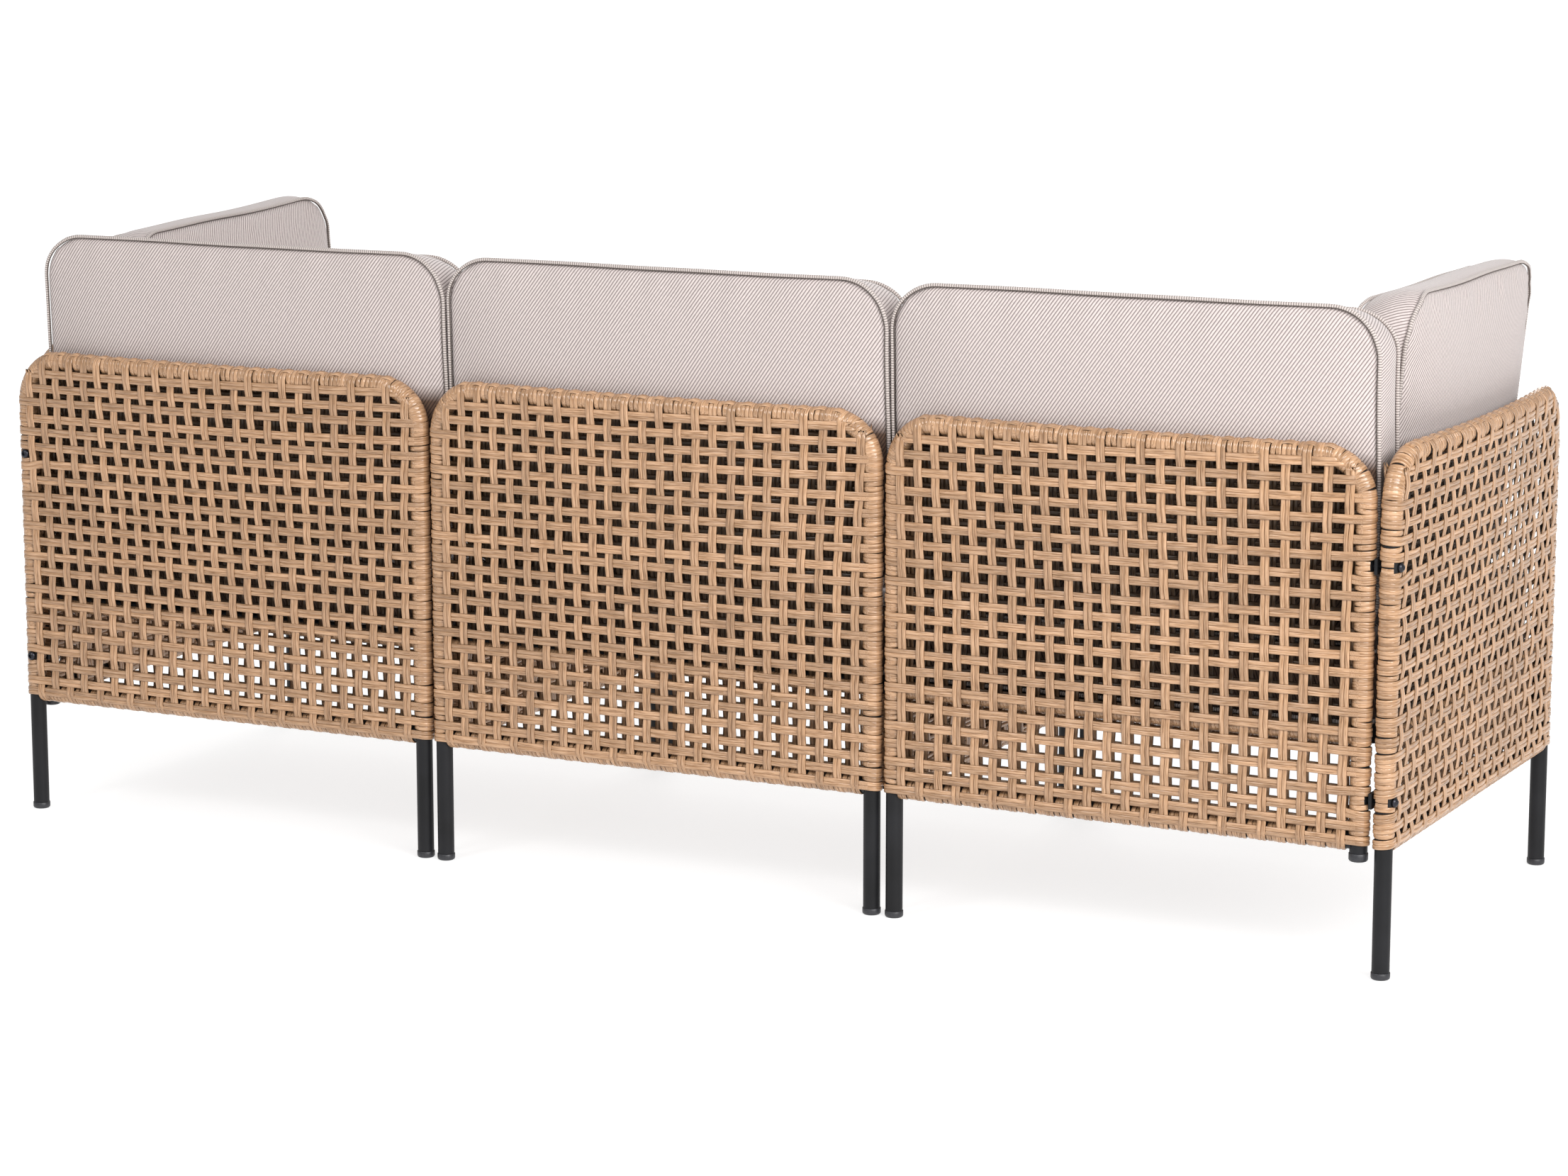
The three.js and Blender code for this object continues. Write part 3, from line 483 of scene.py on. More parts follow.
def rowsFor(panel, dice):
    # rows at an uneven hand-made pitch: a clear gap at each bolt, the last row close under the rail
    marks = [weave["firstRow"]]
    fixed = {0}
    tall = panel["cornerRadius"] > 0
    end = panel["top"] - weave["underRail"] - (weave["lastGap"] if tall else 0)
    lean = 0.0  # the bolts' rows climb or fall by half of their tilt
    if panel["holes"]:
        lean = -0.5 if True in panel["holes"] else 0.5
    stops = []
    for height in sorted(boltHeights) if tall else ():
        share = (height - weave["firstRow"]) / (panel["top"] - weave["firstRow"])
        shift = weave["rowTilt"] * share * lean
        stops.append((height - shift - weave["clearBelow"], height - shift + weave["clearAbove"]))
    for low, high in stops + [(end, None)]:
        count = max(1, int(round((low - marks[-1]) / weave["rowPitch"])))
        marks += list(np.linspace(marks[-1], low, count + 1)[1:])
        fixed.add(len(marks) - 1)
        if high:
            marks.append(high)
            fixed.add(len(marks) - 1)
    rows = np.array(marks)
    for k in range(len(rows)):
        if k not in fixed:
            rows[k] += dice.uniform(-1, 1) * weave["rowJitter"]
    return np.append(rows, panel["top"] - weave["underRail"]) if tall else rows


def wanderAt(where, marks, low, high):
    # eases from mark to mark
    marks = np.asarray(marks)
    share = np.clip((where - low) / (high - low), 0, 1) * (len(marks) - 1)
    index = np.minimum(share.astype(int), len(marks) - 2)
    local = share - index
    ease = local * local * (3 - 2 * local)
    return marks[index] * (1 - ease) + marks[index + 1] * ease


def panelParts(panel):
    # every strand of one panel as closed loops round its tubes, in the panel's own mm
    dice = random.Random(panel["seed"])
    span, top, low = panel["span"], panel["top"], hoop["lowRail"]
    radius, depth = panel["cornerRadius"], panel["bow"]
    bend = top - radius
    columns = columnsFor(span)
    pitch = columns[1] - columns[0]
    rows = rowsFor(panel, dice)
    uprights, bands, fills = newBundle(), newBundle(), newBundle()
    level, rise, bandRise = weave["level"], weave["uprightRise"], weave["bandRise"]
    half = weave["pairWidth"] / 4
    rowHalf = half * weave["rowSpread"]
    wander = weave["wander"]

    def toRow(points, facing):
        points = np.array(points, float)
        points[:, 1] += bowAt(points[:, 0], points[:, 2], span, depth)
        return moved(points, panel["place"]), turned(facing, panel["place"])

    def innerShadeShare(points):
        # the share of painted shade: 1 on the inner layer, away from the tubes, and less low down
        along, out, height = np.array(points, float).T
        edge = np.minimum(np.minimum(along, span - along), top - height)
        shadeFoot, shadeRun = weave["shade"]
        paintedShade = np.clip((height - shadeFoot) / shadeRun, weave["leastShade"], 1)
        return np.clip((-out - 4) / 8, 0, 1) * np.clip((edge - 8) / 25, 0, 1) * paintedShade

    def cornerDepth(along):
        # how far a place lies inside the rounded top corner
        return max(radius - along, along - (span - radius), 0.0)

    def tucked(inside):
        return weave["tuckIn"] * min(1.0, inside / weave["tuckRun"])

    rowMarks = [[dice.uniform(-1, 1) * wander * weave["rowWander"] for _ in range(4)] for _ in rows]
    nudges = {False: {}, True: {}}

    def rowPlace(row, along):
        # rows climb towards the near end, more so higher up, and make way for the bolts at a post
        along = np.asarray(along, float)
        tilt = weave["rowTilt"] * (rows[row] - low) / (hoop["topRail"] - low) * (0.5 - along / span)
        near = nudges[False].get(row, 0.0) * np.exp(-(along / weave["nudgeReach"]) ** 2)
        far = nudges[True].get(row, 0.0) * np.exp(-((span - along) / weave["nudgeReach"]) ** 2)
        return rows[row] + tilt + near + far + wanderAt(along, rowMarks[row], 0, span)

    for farPost, heights in panel["holes"].items():
        places = [float(rowPlace(row, span if farPost else 0.0)) for row in range(len(rows))]
        pushes = {}
        for height in heights:
            above = min((z, row) for row, z in enumerate(places) if z > height)
            below = max((z, row) for row, z in enumerate(places) if z <= height)
            pushes[above[1]] = height + weave["boltAbove"] - above[0]
            pushes[below[1]] = height - weave["boltBelow"] - below[0]
        nudges[farPost] = pushes

    def blend(ends, height):
        # the two layers lie differently behind each other at the top and at the foot
        slipTop, slipRun = weave["slip"]
        upper, lower = ends
        return upper + (lower - upper) * np.clip((slipTop - np.asarray(height, float)) / slipRun, 0, 1)

    def innerShift(column, height):
        # sideways, less so next to a post
        aside = blend(panel["innerShift"], height)
        room = np.where(aside < 0, columns[column], span - columns[column])
        return aside * np.clip((room - 10) / 30, 0.25, 1)

    columnMarks = [[dice.uniform(-1, 1) * wander for _ in range(4)] for _ in columns]

    def columnPlace(column, height):
        height = np.asarray(height, float)
        edge = min(column, len(columns) - 1 - column)
        marks = np.array(columnMarks[column]) * min(1.0, 0.3 + edge * 0.35)
        # the upper ends of the uprights are drawn sideways, each panel its own way
        pullFoot, pullRun = weave["pull"]
        rise = np.clip((height - pullFoot) / pullRun, 0, 1)
        pull = np.interp(columns[column] / span, (0, 0.3, 0.6, 1), panel["pull"]) * rise * rise * (3 - 2 * rise)
        return columns[column] + pull + wanderAt(height, marks, low, top)

    # uprights: up the outer face, over the top rail, down the inner face, round the low rail
    for column in range(len(columns)):
        sign = 1 if column % 2 == 0 else -1
        for side in (-1, 1):
            aside = side * half
            steps = np.arange(0, len(rows) - 1 + 1e-6, panel["outerStep"])
            heights = np.interp(steps, range(len(rows)), rows)
            waves = sign * np.cos(np.pi * steps)
            points = [(columnPlace(column, height) + aside, level + rise * wave, height)
                      for height, wave in zip(heights, waves)]
            facing = [(0, 1, 0)] * len(points)
            over = float(columnPlace(column, top)) + aside
            inside = cornerDepth(over)
            for turn in np.linspace(0, 180, panel["turnSteps"] + 1):
                angle = math.radians(turn)
                drop = min(1.0, turn / 60.0)
                reach = level + rise * (waves[-1] * (1 - drop) - 0.9 * drop) - 1.2 * min(1.0, inside / 25)
                height = top + reach * math.sin(angle)
                if radius:
                    height = bend + math.sqrt(max((radius + reach * math.sin(angle)) ** 2 - inside ** 2, 1.0))
                points.append((over, reach * math.cos(angle), height))
                facing.append((0, math.cos(angle), math.sin(angle)))
            steps = np.arange(len(rows) - 1, -1e-6, -panel["innerStep"])
            heights = np.interp(steps, range(len(rows)), rows)
            for height, step in zip(heights - blend(panel["innerDrop"], heights), steps):
                wave = -sign * math.cos(math.pi * step)
                along = columnPlace(column, height) + aside + innerShift(column, height)
                points.append((along, -(level + rise * wave), height))
                facing.append((0, -1, 0))
            reach = level - rise * 0.2
            for turn in np.linspace(180, 360, panel["turnSteps"] + 1)[1:-1]:
                angle = math.radians(turn)
                along = columns[column] + aside + innerShift(column, low) * (2 - turn / 180)
                points.append((float(along), reach * math.cos(angle), low + reach * math.sin(angle)))
                facing.append((0, math.cos(angle), math.sin(angle)))
            addPath(uprights, *toRow(points, facing), tone=dice.random(), inner=innerShadeShare(points))

    def roundPost(height, turn, farPost):
        # a place on a band's turn round a post; rows that end on the bend tuck in under its wraps
        angle = math.radians(turn)
        height = height - float(blend(panel["innerDrop"], height)) * turn / 180
        inside = max(height - bend, 0.0) if radius else 0.0
        reach = level - tucked(inside)
        along = -reach * math.sin(angle)
        if radius:
            along = radius - math.sqrt(max((radius + reach * math.sin(angle)) ** 2 - inside ** 2, 1.0))
        outward = math.sin(angle) * (1 if farPost else -1)
        return ((span - along if farPost else along, reach * math.cos(angle), height),
                (outward, math.cos(angle), 0))

    def crossUprights(row, index, face, aside, shift):
        # a band's places over the outer face (1) or the inner one (-1), in front of or behind each upright
        sign = -face if row % 2 == 0 else face
        drop = blend(panel["innerDrop"], rows[row]) if face < 0 else 0.0
        alongs = columns[0] + index * pitch
        keep = (alongs > shift + 1) & (alongs < span - shift - 1)
        return [(along, face * (level + bandRise * sign * math.cos(math.pi * step)),
                 rowPlace(row, along) + aside - drop) for along, step in zip(alongs[keep], index[keep])]

    # bands: along the outer face, round the far post, back along the inner face, round the near post
    turns = np.linspace(0, 180, panel["turnSteps"] + 1)
    for row in range(len(rows)):
        for aside in (-rowHalf, rowHalf):
            nearHeight = float(rowPlace(row, 0.0)) + aside
            farHeight = float(rowPlace(row, span)) + aside
            inside = max((nearHeight + farHeight) / 2 - bend, 0.0)
            shift = radius - math.sqrt(max(radius ** 2 - inside ** 2, 0.0))
            outer = crossUprights(row, np.arange(-0.25, len(columns) - 0.75 + 1e-6, panel["outerStep"]),
                                  1, aside, shift)
            inner = crossUprights(row, np.arange(len(columns) - 1, -1e-6, -panel["innerStep"]),
                                  -1, aside, shift)
            far = [roundPost(farHeight, turn, True) for turn in turns]
            near = [roundPost(nearHeight, turn, False) for turn in turns[::-1]]
            points = outer + [p for p, _ in far] + inner + [p for p, _ in near]
            facing = [(0, 1, 0)] * len(outer) + [f for _, f in far]
            facing += [(0, -1, 0)] * len(inner) + [f for _, f in near]
            addPath(bands, *toRow(points, facing), tone=dice.random(), inner=innerShadeShare(points))

    def addWrap(centre, axis, reach, tilt, steps, openings=()):
        # a ring, or arcs that leave openings (where each looks and its half width, in degrees)
        axis = np.asarray(axis, float)
        axis /= np.linalg.norm(axis)
        out = np.array((0.0, 1.0, 0.0))
        third = np.cross(axis, out)
        runs = [] if openings else [360 * np.arange(steps) / steps]
        nextOnes = openings[1:] + tuple((aim + 360, wide) for aim, wide in openings[:1])
        for (aim, wide), (nextAim, nextWide) in zip(openings, nextOnes):
            first, last = aim + wide, nextAim - nextWide
            runs.append(np.linspace(first, last, max(4, int((last - first) * steps / 360))))
        for run in runs:
            radials = [out * math.cos(angle) + third * math.sin(angle) for angle in np.radians(run)]
            points = [np.asarray(centre) + radial * reach + axis * tilt * math.sin(angle)
                      for radial, angle in zip(radials, np.radians(run))]
            addPath(fills, *toRow(points, radials), tone=dice.random(), closed=not openings)

    ringSteps, fillLevel = panel["ringSteps"], weave["fillLevel"]
    # wraps on both rails, between the uprights
    for column in range(len(columns) - 1):
        for rail in (top, low):
            start, end = columns[column], columns[column + 1]
            if rail == top:
                start, end = float(columnPlace(column, top)), float(columnPlace(column + 1, top))
            gap = end - start - weave["pairWidth"]
            count = max(1, int(round(gap / weave["railPitch"])))
            for k in range(count):
                along = start + weave["pairWidth"] / 2 + gap * (k + 0.5) / count + dice.uniform(-0.3, 0.3)
                if rail == low or not radius or (radius < along < span - radius):
                    addWrap((along, 0, rail), (1, 0, 0), fillLevel, dice.uniform(-1.2, 1.2), ringSteps)
    for post in (0.0, span):
        # and on the posts, between the bands
        bolts = panel["holes"].get(post > 0, ())
        for row in range(len(rows) - 1):
            start, end = float(rowPlace(row, post)), float(rowPlace(row + 1, post))
            gap = end - start - weave["pairWidth"]
            count = max(1, int(round(gap / weave["postPitch"])))
            for k in range(count):
                height = start + weave["pairWidth"] / 2 + gap * (k + 0.5) / count
                if height > bend + 4 and radius:
                    continue
                nextToBolt = any(abs(height - bolt) < weave["boltOpening"] for bolt in bolts)
                addWrap((post, 0, height), (0, 0, 1), fillLevel, dice.uniform(-1.8, 1.8), ringSteps,
                        panel["openings"] if nextToBolt else ())
        # criss-crossed wraps round the bend
        bendFrom, bendTurn = weave["bendTurn"]
        for k in range(weave["bendWraps"] if radius else 0):
            angle = math.radians(bendFrom + bendTurn * (k + 0.5) / weave["bendWraps"])
            along = radius - radius * math.cos(angle)
            height = bend + radius * math.sin(angle)
            axis = (math.sin(angle), 0, math.cos(angle))
            if post > 0:
                along, axis = span - along, (-axis[0], 0, axis[2])
            addWrap((along, 0, height), axis, fillLevel, dice.uniform(-2.2, 2.2), ringSteps)
    if not radius:
        return uprights, bands, fills

    # the crown: two strands that run along the top rail, over each upright and under the fills
    crownLevel, crownRise = weave["crown"]
    for turn in weave["crownTurns"]:
        angle = math.radians(turn)
        points, facing = [], []
        for along in np.arange(radius * 0.6, span - radius * 0.6, pitch / 8):
            reach = crownLevel + crownRise * math.cos(2 * math.pi * (along - columns[0]) / pitch)
            height = bend + math.sqrt((radius + reach * math.sin(angle)) ** 2 - cornerDepth(along) ** 2)
            points.append((along, reach * math.cos(angle), height))
            facing.append((0, math.cos(angle), math.sin(angle)))
        addPath(fills, *toRow(points, facing), tone=dice.random(), closed=False)
    # the wrapped cross rail inside
    wrap = weave["crossWrap"]
    for k in range(int((span - wrap["margin"]) / wrap["pitch"])):
        addWrap((wrap["first"] + k * wrap["pitch"], 0, hoop["crossRail"]), (1, 0, 0),
                wrap["reach"], wrap["tilt"], wrap["steps"])
    return uprights, bands, fills


# a tall panel and a skirt: steps are shares of a pitch, shifts and drops of the inner layer are in mm
tallKind = {
    "top": hoop["topRail"], "cornerRadius": hoop["cornerRadius"], "bow": hoop["bow"],
    "outerStep": 0.25, "innerStep": 0.5, "turnSteps": 9, "ringSteps": 18, "profile": 6,
    "innerDrop": (-3.0, 4.0), "holes": {}, "openings": (),
}
skirtKind = {
    "top": hoop["crossRail"], "cornerRadius": 0.0, "bow": 0.0,
    "outerStep": 0.5, "innerStep": 0.5, "turnSteps": 6, "ringSteps": 12, "profile": 4,
    "innerDrop": (0.0, 0.0), "holes": {}, "openings": (),
    "pull": (0, 0, 0, 0), "innerShift": (0.0, 0.0),
}


def weavePanel(node, kind, place, span, seed, **own):
    panel = {**kind, "place": place, "span": span, "seed": seed, **own}
    counts = []
    for part, bundle in zip(("uprights", "bands", "fills"), panelParts(panel)):
        width = weave["fillWidth" if part == "fills" else "strandWidth"]
        piece = sweepPiece(node + "_" + part, bundle, strandSweep, {
            "Width": width * mm, "Thickness": weave["strandThickness"] * mm, "Flatness": weave["flatness"],
            "Profile Points": panel["profile"], "Material": cane})
        settle(piece, [node])
        counts.append(len(piece.data.polygons))
    print(node, counts)


cornerSeat = {"left": -longSpan, "right": -inset, "rear": -inset, "front": -cornerDepth}
middleSeat = {"left": -longSpan, "right": 0.0, "rear": -inset, "front": -longSpan}

for name, seed, longShift in (("right", 21, (4.0, -5.0)), ("left", 33, (11.0, 11.0))):
    weavePanel(name + "_long_panel_weave", tallKind, placeOf(name, -longSpan, 0, 0), longSpan, seed,
               pull=(-6, 5, 9, 4), innerShift=longShift, holes={True: boltHeights},
               openings=((0, 55), (180, 45)))
    weavePanel(name + "_short_panel_weave", tallKind, placeOf(name, 0, -layout["cornerGap"], -90), shortSpan,
               seed + 1, pull=(-3, 5, 8, 4), innerShift=(-1.0, 6.0), holes={False: boltHeights},
               openings=((90, 45),))
    weavePanel(name + "_front_skirt_weave", skirtKind, placeOf(name, -inset, -cornerDepth, 180),
               longSpan - inset, seed + 2)
    weavePanel(name + "_side_skirt_weave", skirtKind, placeOf(name, -longSpan, inset - cornerDepth, 90),
               cornerDepth - 2 * inset, seed + 3)
weavePanel("middle_panel_weave", tallKind, placeOf("middle", -longSpan, 0, 0), longSpan, 45,
           pull=(-9, -7, -4, -3), innerShift=(1.5, -6.0))
weavePanel("middle_front_skirt_weave", skirtKind, placeOf("middle", 0, -longSpan, 180), longSpan, 46)
weavePanel("middle_left_skirt_weave", skirtKind, placeOf("middle", -longSpan, inset - longSpan, 90),
           longSpan - 2 * inset, 47)
weavePanel("middle_right_skirt_weave", skirtKind, placeOf("middle", 0, -inset, -90), longSpan - 2 * inset, 48)
print("weave made")


def addTube(bundle, place, points):
    points = np.array(points, float)
    facing = np.tile((0.0, 1.0, 0.0), (len(points), 1))
    facing[np.abs(unit(np.gradient(points, axis=0))[:, 1]) > 0.9] = (0.0, 0.0, 1.0)
    addPath(bundle, moved(points, place), turned(facing, place), closed=False)


def straight(start, end):
    # a tube's two ends and its middle
    return [start, [(a + b) / 2 for a, b in zip(start, end)], end]


def settleTubes(name, node, bundle, radius, sides):
    values = {"Radius": radius * mm, "Sides": sides, "Material": steel}
    settle(sweepPiece(name, bundle, roundSweep, values), [node])


def hoopPath(span, firstFoot, bow):
    # up one post, round both bends and down the other post
    radius, top = hoop["cornerRadius"], hoop["topRail"]
    bend = top - radius
    angles = np.linspace(0, quarter, 13)
    path = [(0, firstFoot), (0, hoop["bowFoot"]), (0, bend)]
    path += [(radius - radius * math.cos(a), bend + radius * math.sin(a)) for a in angles[1:]]
    path += [(a, top) for a in np.linspace(radius, span - radius, 13)[1:-1]]
    path += [(span - radius + radius * math.sin(a), bend + radius * math.cos(a)) for a in angles]
    path += [(span, hoop["bowFoot"]), (span, hoop["tubeFoot"])]
    return [(a, float(bowAt(np.float64(a), np.float64(z), span, bow)), z) for a, z in path]


def panelFrame(node, place, span, firstFoot):
    thick, thin = newBundle(), newBundle()
    first, last = hoop["railEnd"], span - hoop["railEnd"]
    addTube(thick, place, hoopPath(span, firstFoot, hoop["bow"]))
    addTube(thick, place, straight((first, 0, hoop["lowRail"]), (last, 0, hoop["lowRail"])))
    addTube(thin, place, straight((first, 0, hoop["crossRail"]), (last, 0, hoop["crossRail"])))
    settleTubes(node + "_tubes", node, thick, hoop["tubeRadius"], 24)
    settleTubes(node + "_cross_rail", node, thin, hoop["crossRadius"], 16)


for name in ("right", "left"):
    panelFrame(name + "_long_panel_frame", placeOf(name, -longSpan, 0, 0), longSpan, hoop["tubeFoot"])
    panelFrame(name + "_short_panel_frame", placeOf(name, 0, -layout["cornerGap"], -90), shortSpan,
               hoop["cutFoot"])
panelFrame("middle_panel_frame", placeOf("middle", -longSpan, 0, 0), longSpan, hoop["tubeFoot"])


# the seat's slats: flat bars with eased edges, in mm
slats = {"count": 6, "width": 40.0, "thickness": 5.0, "ease": 1.0}


def slatTree():
    tree, start, end = newTree("slatRow", [
        ("Count", "Int", 6), ("Pitch", "Float", 0.1), ("Size", "Vector", (0.04, 0.7, 0.005)),
        ("Ease", "Float", 0.001), ("Material", "Material", None)])
    step = addNode(tree, "ShaderNodeCombineXYZ", None, {"X": start.outputs["Pitch"]})
    line = addNode(tree, "GeometryNodeMeshLine", {"mode": "OFFSET"},
                   {"Count": start.outputs["Count"], "Offset": step})
    sizes = addNode(tree, "ShaderNodeSeparateXYZ", None, {"Vector": start.outputs["Size"]})
    outline = addNode(tree, "GeometryNodeCurvePrimitiveQuadrilateral", {"mode": "RECTANGLE"},
                      {"Width": sizes.outputs["X"], "Height": sizes.outputs["Z"]})
    rounded = addNode(tree, "GeometryNodeFilletCurve", {"mode": "POLY"},
                      {"Curve": outline, "Count": 2, "Radius": start.outputs["Ease"]})
    rear, front = (
        addNode(tree, "ShaderNodeCombineXYZ", None, {"Y": addNode(
            tree, "ShaderNodeMath", {"operation": "MULTIPLY"}, {0: sizes.outputs["Y"], 1: share})})
        for share in (-0.5, 0.5))
    run = addNode(tree, "GeometryNodeCurvePrimitiveLine", {"mode": "POINTS"}, {"Start": rear, "End": front})
    up = addNode(tree, "GeometryNodeSetCurveNormal", {"mode": "Z_UP"}, {"Curve": run})
    bar = addNode(tree, "GeometryNodeCurveToMesh", None,
                  {"Curve": up, "Profile Curve": rounded, "Fill Caps": True})
    placed = addNode(tree, "GeometryNodeInstanceOnPoints", None, {"Points": line, "Instance": bar})
    return endTree(tree, start, end, placed)


slatRow = slatTree()


def seatFrame(moduleName, seat, posts, legs, lowRails):
    # posts, legs and low rails are given by the corners of the seat's tube ring
    node, place = moduleName + "_seat_frame", placeOf(moduleName, 0, 0, 0)
    ring, low = hoop["crossRail"], hoop["lowRail"]
    left, right, rear, front = seat["left"], seat["right"], seat["rear"], seat["front"]
    tubes = newBundle()
    for start, end in (((left, front), (right, front)), ((left, rear), (right, rear)),
                       ((left, front), (left, rear)), ((right, front), (right, rear))):
        addTube(tubes, place, straight((*start, ring), (*end, ring)))
    for start, end in lowRails:
        addTube(tubes, place, straight((*start, low), (*end, low)))
    for post in posts:
        addTube(tubes, place, straight((*post, low), (*post, ring)))
    for leg in legs:
        addTube(tubes, place, straight((*leg, hoop["tubeFoot"]), (*leg, ring)))
    settleTubes(node + "_tubes", node, tubes, hoop["tubeRadius"], 20)
    piece = newPiece(node + "_slats", bpy.data.meshes.new(node + "_slats"))
    pitch = (right - left) / (slats["count"] + 1)
    runTree(piece, slatRow, {"Count": slats["count"], "Pitch": pitch * mm,
                             "Size": (slats["width"] * mm, (rear - front) * mm, slats["thickness"] * mm),
                             "Ease": slats["ease"] * mm, "Material": steel})
    middle = (left + pitch, (front + rear) / 2, hoop["seatTop"] - slats["thickness"] / 2)
    piece.data.transform(place @ Matrix.Translation(middle) @ Matrix.Scale(1 / mm, 4))
    settle(piece, [node])


for name, seat in (("right", cornerSeat), ("left", cornerSeat), ("middle", middleSeat)):
    frontLeft, frontRight, rearLeft, rearRight = [
        (seat[x], seat[y]) for y in ("front", "rear") for x in ("left", "right")]
    besideLeft, besideRight = [(seat[x], seat["front"] + inset) for x in ("left", "right")]
    if name == "middle":
        seatFrame(name, seat, [rearRight, rearLeft, besideLeft, besideRight], [frontLeft, frontRight],
                  [(frontLeft, frontRight), (besideLeft, rearLeft), (besideRight, rearRight)])
    else:
        seatFrame(name, seat, [frontRight, rearLeft, besideLeft], [frontLeft],
                  [(frontLeft, frontRight), (besideLeft, rearLeft)])
print("frames made")


# boxed cushions, in mm: size, thickness at the seam, crown of each face, corner radius, how the edges swell
cushionKinds = {
    "back": {"size": (722.0, 464.0), "thickness": 75.0, "crown": 28.0, "radius": 70.0, "cell": 12.0,
             "wallBulge": 2.5, "lean": 3.0, "seed": 5},
    "side": {"size": (560.0, 460.0), "thickness": 75.0, "crown": 40.0, "radius": 70.0, "cell": 12.0,
             "wallBulge": 10.0, "lean": 5.5, "seed": 6},
    "seat": {"thickness": 100.0, "crown": 14.0, "radius": 45.0, "cell": 13.0, "wallBulge": 6.0, "seed": 7},
}

# where the cushions stand, in mm
cushionPlaces = {
    "backSpots": {"right": 733.0, "middle": 0.0, "left": -733.0},
    "backY": 295.4,
    "backZ": 690.0,
    "sideX": 1028.5,
    "sideZ": 695.0,
    "seatZ": 399.8,
    "cornerSeat": ((-375.0, -384.5), (701.0, 720.0)),
    "middleSeat": ((-359.5, -375.0), (732.0, 701.0)),
}

# how a cover is sewn and filled, in mm
cover = {
    "domePower": 2.6,  # how square the dome of a face is
    "domeEase": 0.62,
    "crownShare": 0.72,  # the stuffing does the rest
    "drift": 6.4,  # the longer seams wander by up to half of this, over the length below
    "driftRun": 160.0,
    "pucker": 6.0,  # folds beside the seam, how long and how far in
    "puckerRun": 26.0,
    "puckerReach": 38.0,
    "slants": {("face", 1): 35, ("face", -1): -35, ("wall", 0): -20},  # the rib's turn on each part, in degrees
    "face": 22.0,  # how far the stuffing may push the cloth
    "wall": 4.0,
    "cordRadius": 2.8,
    "threadRadius": 0.9,
    "cord": (1.6, 0.4),  # how far out of the seam and how far off the face
    "stitches": (-1.2, 1.8),
}


def ringPoint(u, v, width, height, radius):
    # a square grid place moved on to concentric rounded rectangles
    scale = max(abs(u), abs(v))
    if scale < 1e-9:
        return 0.0, 0.0
    w, h, r = width / 2 * scale, height / 2 * scale, radius * scale
    x, y = u / scale * w, v / scale * h
    dx, dy = abs(x) - (w - r), abs(y) - (h - r)
    if dx <= 0 or dy <= 0:
        return x, y
    # the covered share of the corner's square border maps on to the arc
    share = 0.5 * dy / r if abs(x) >= w - 1e-9 else 1 - 0.5 * dx / r
    angle = share * quarter
    return math.copysign((w - r) + r * math.cos(angle), x), math.copysign((h - r) + r * math.sin(angle), y)


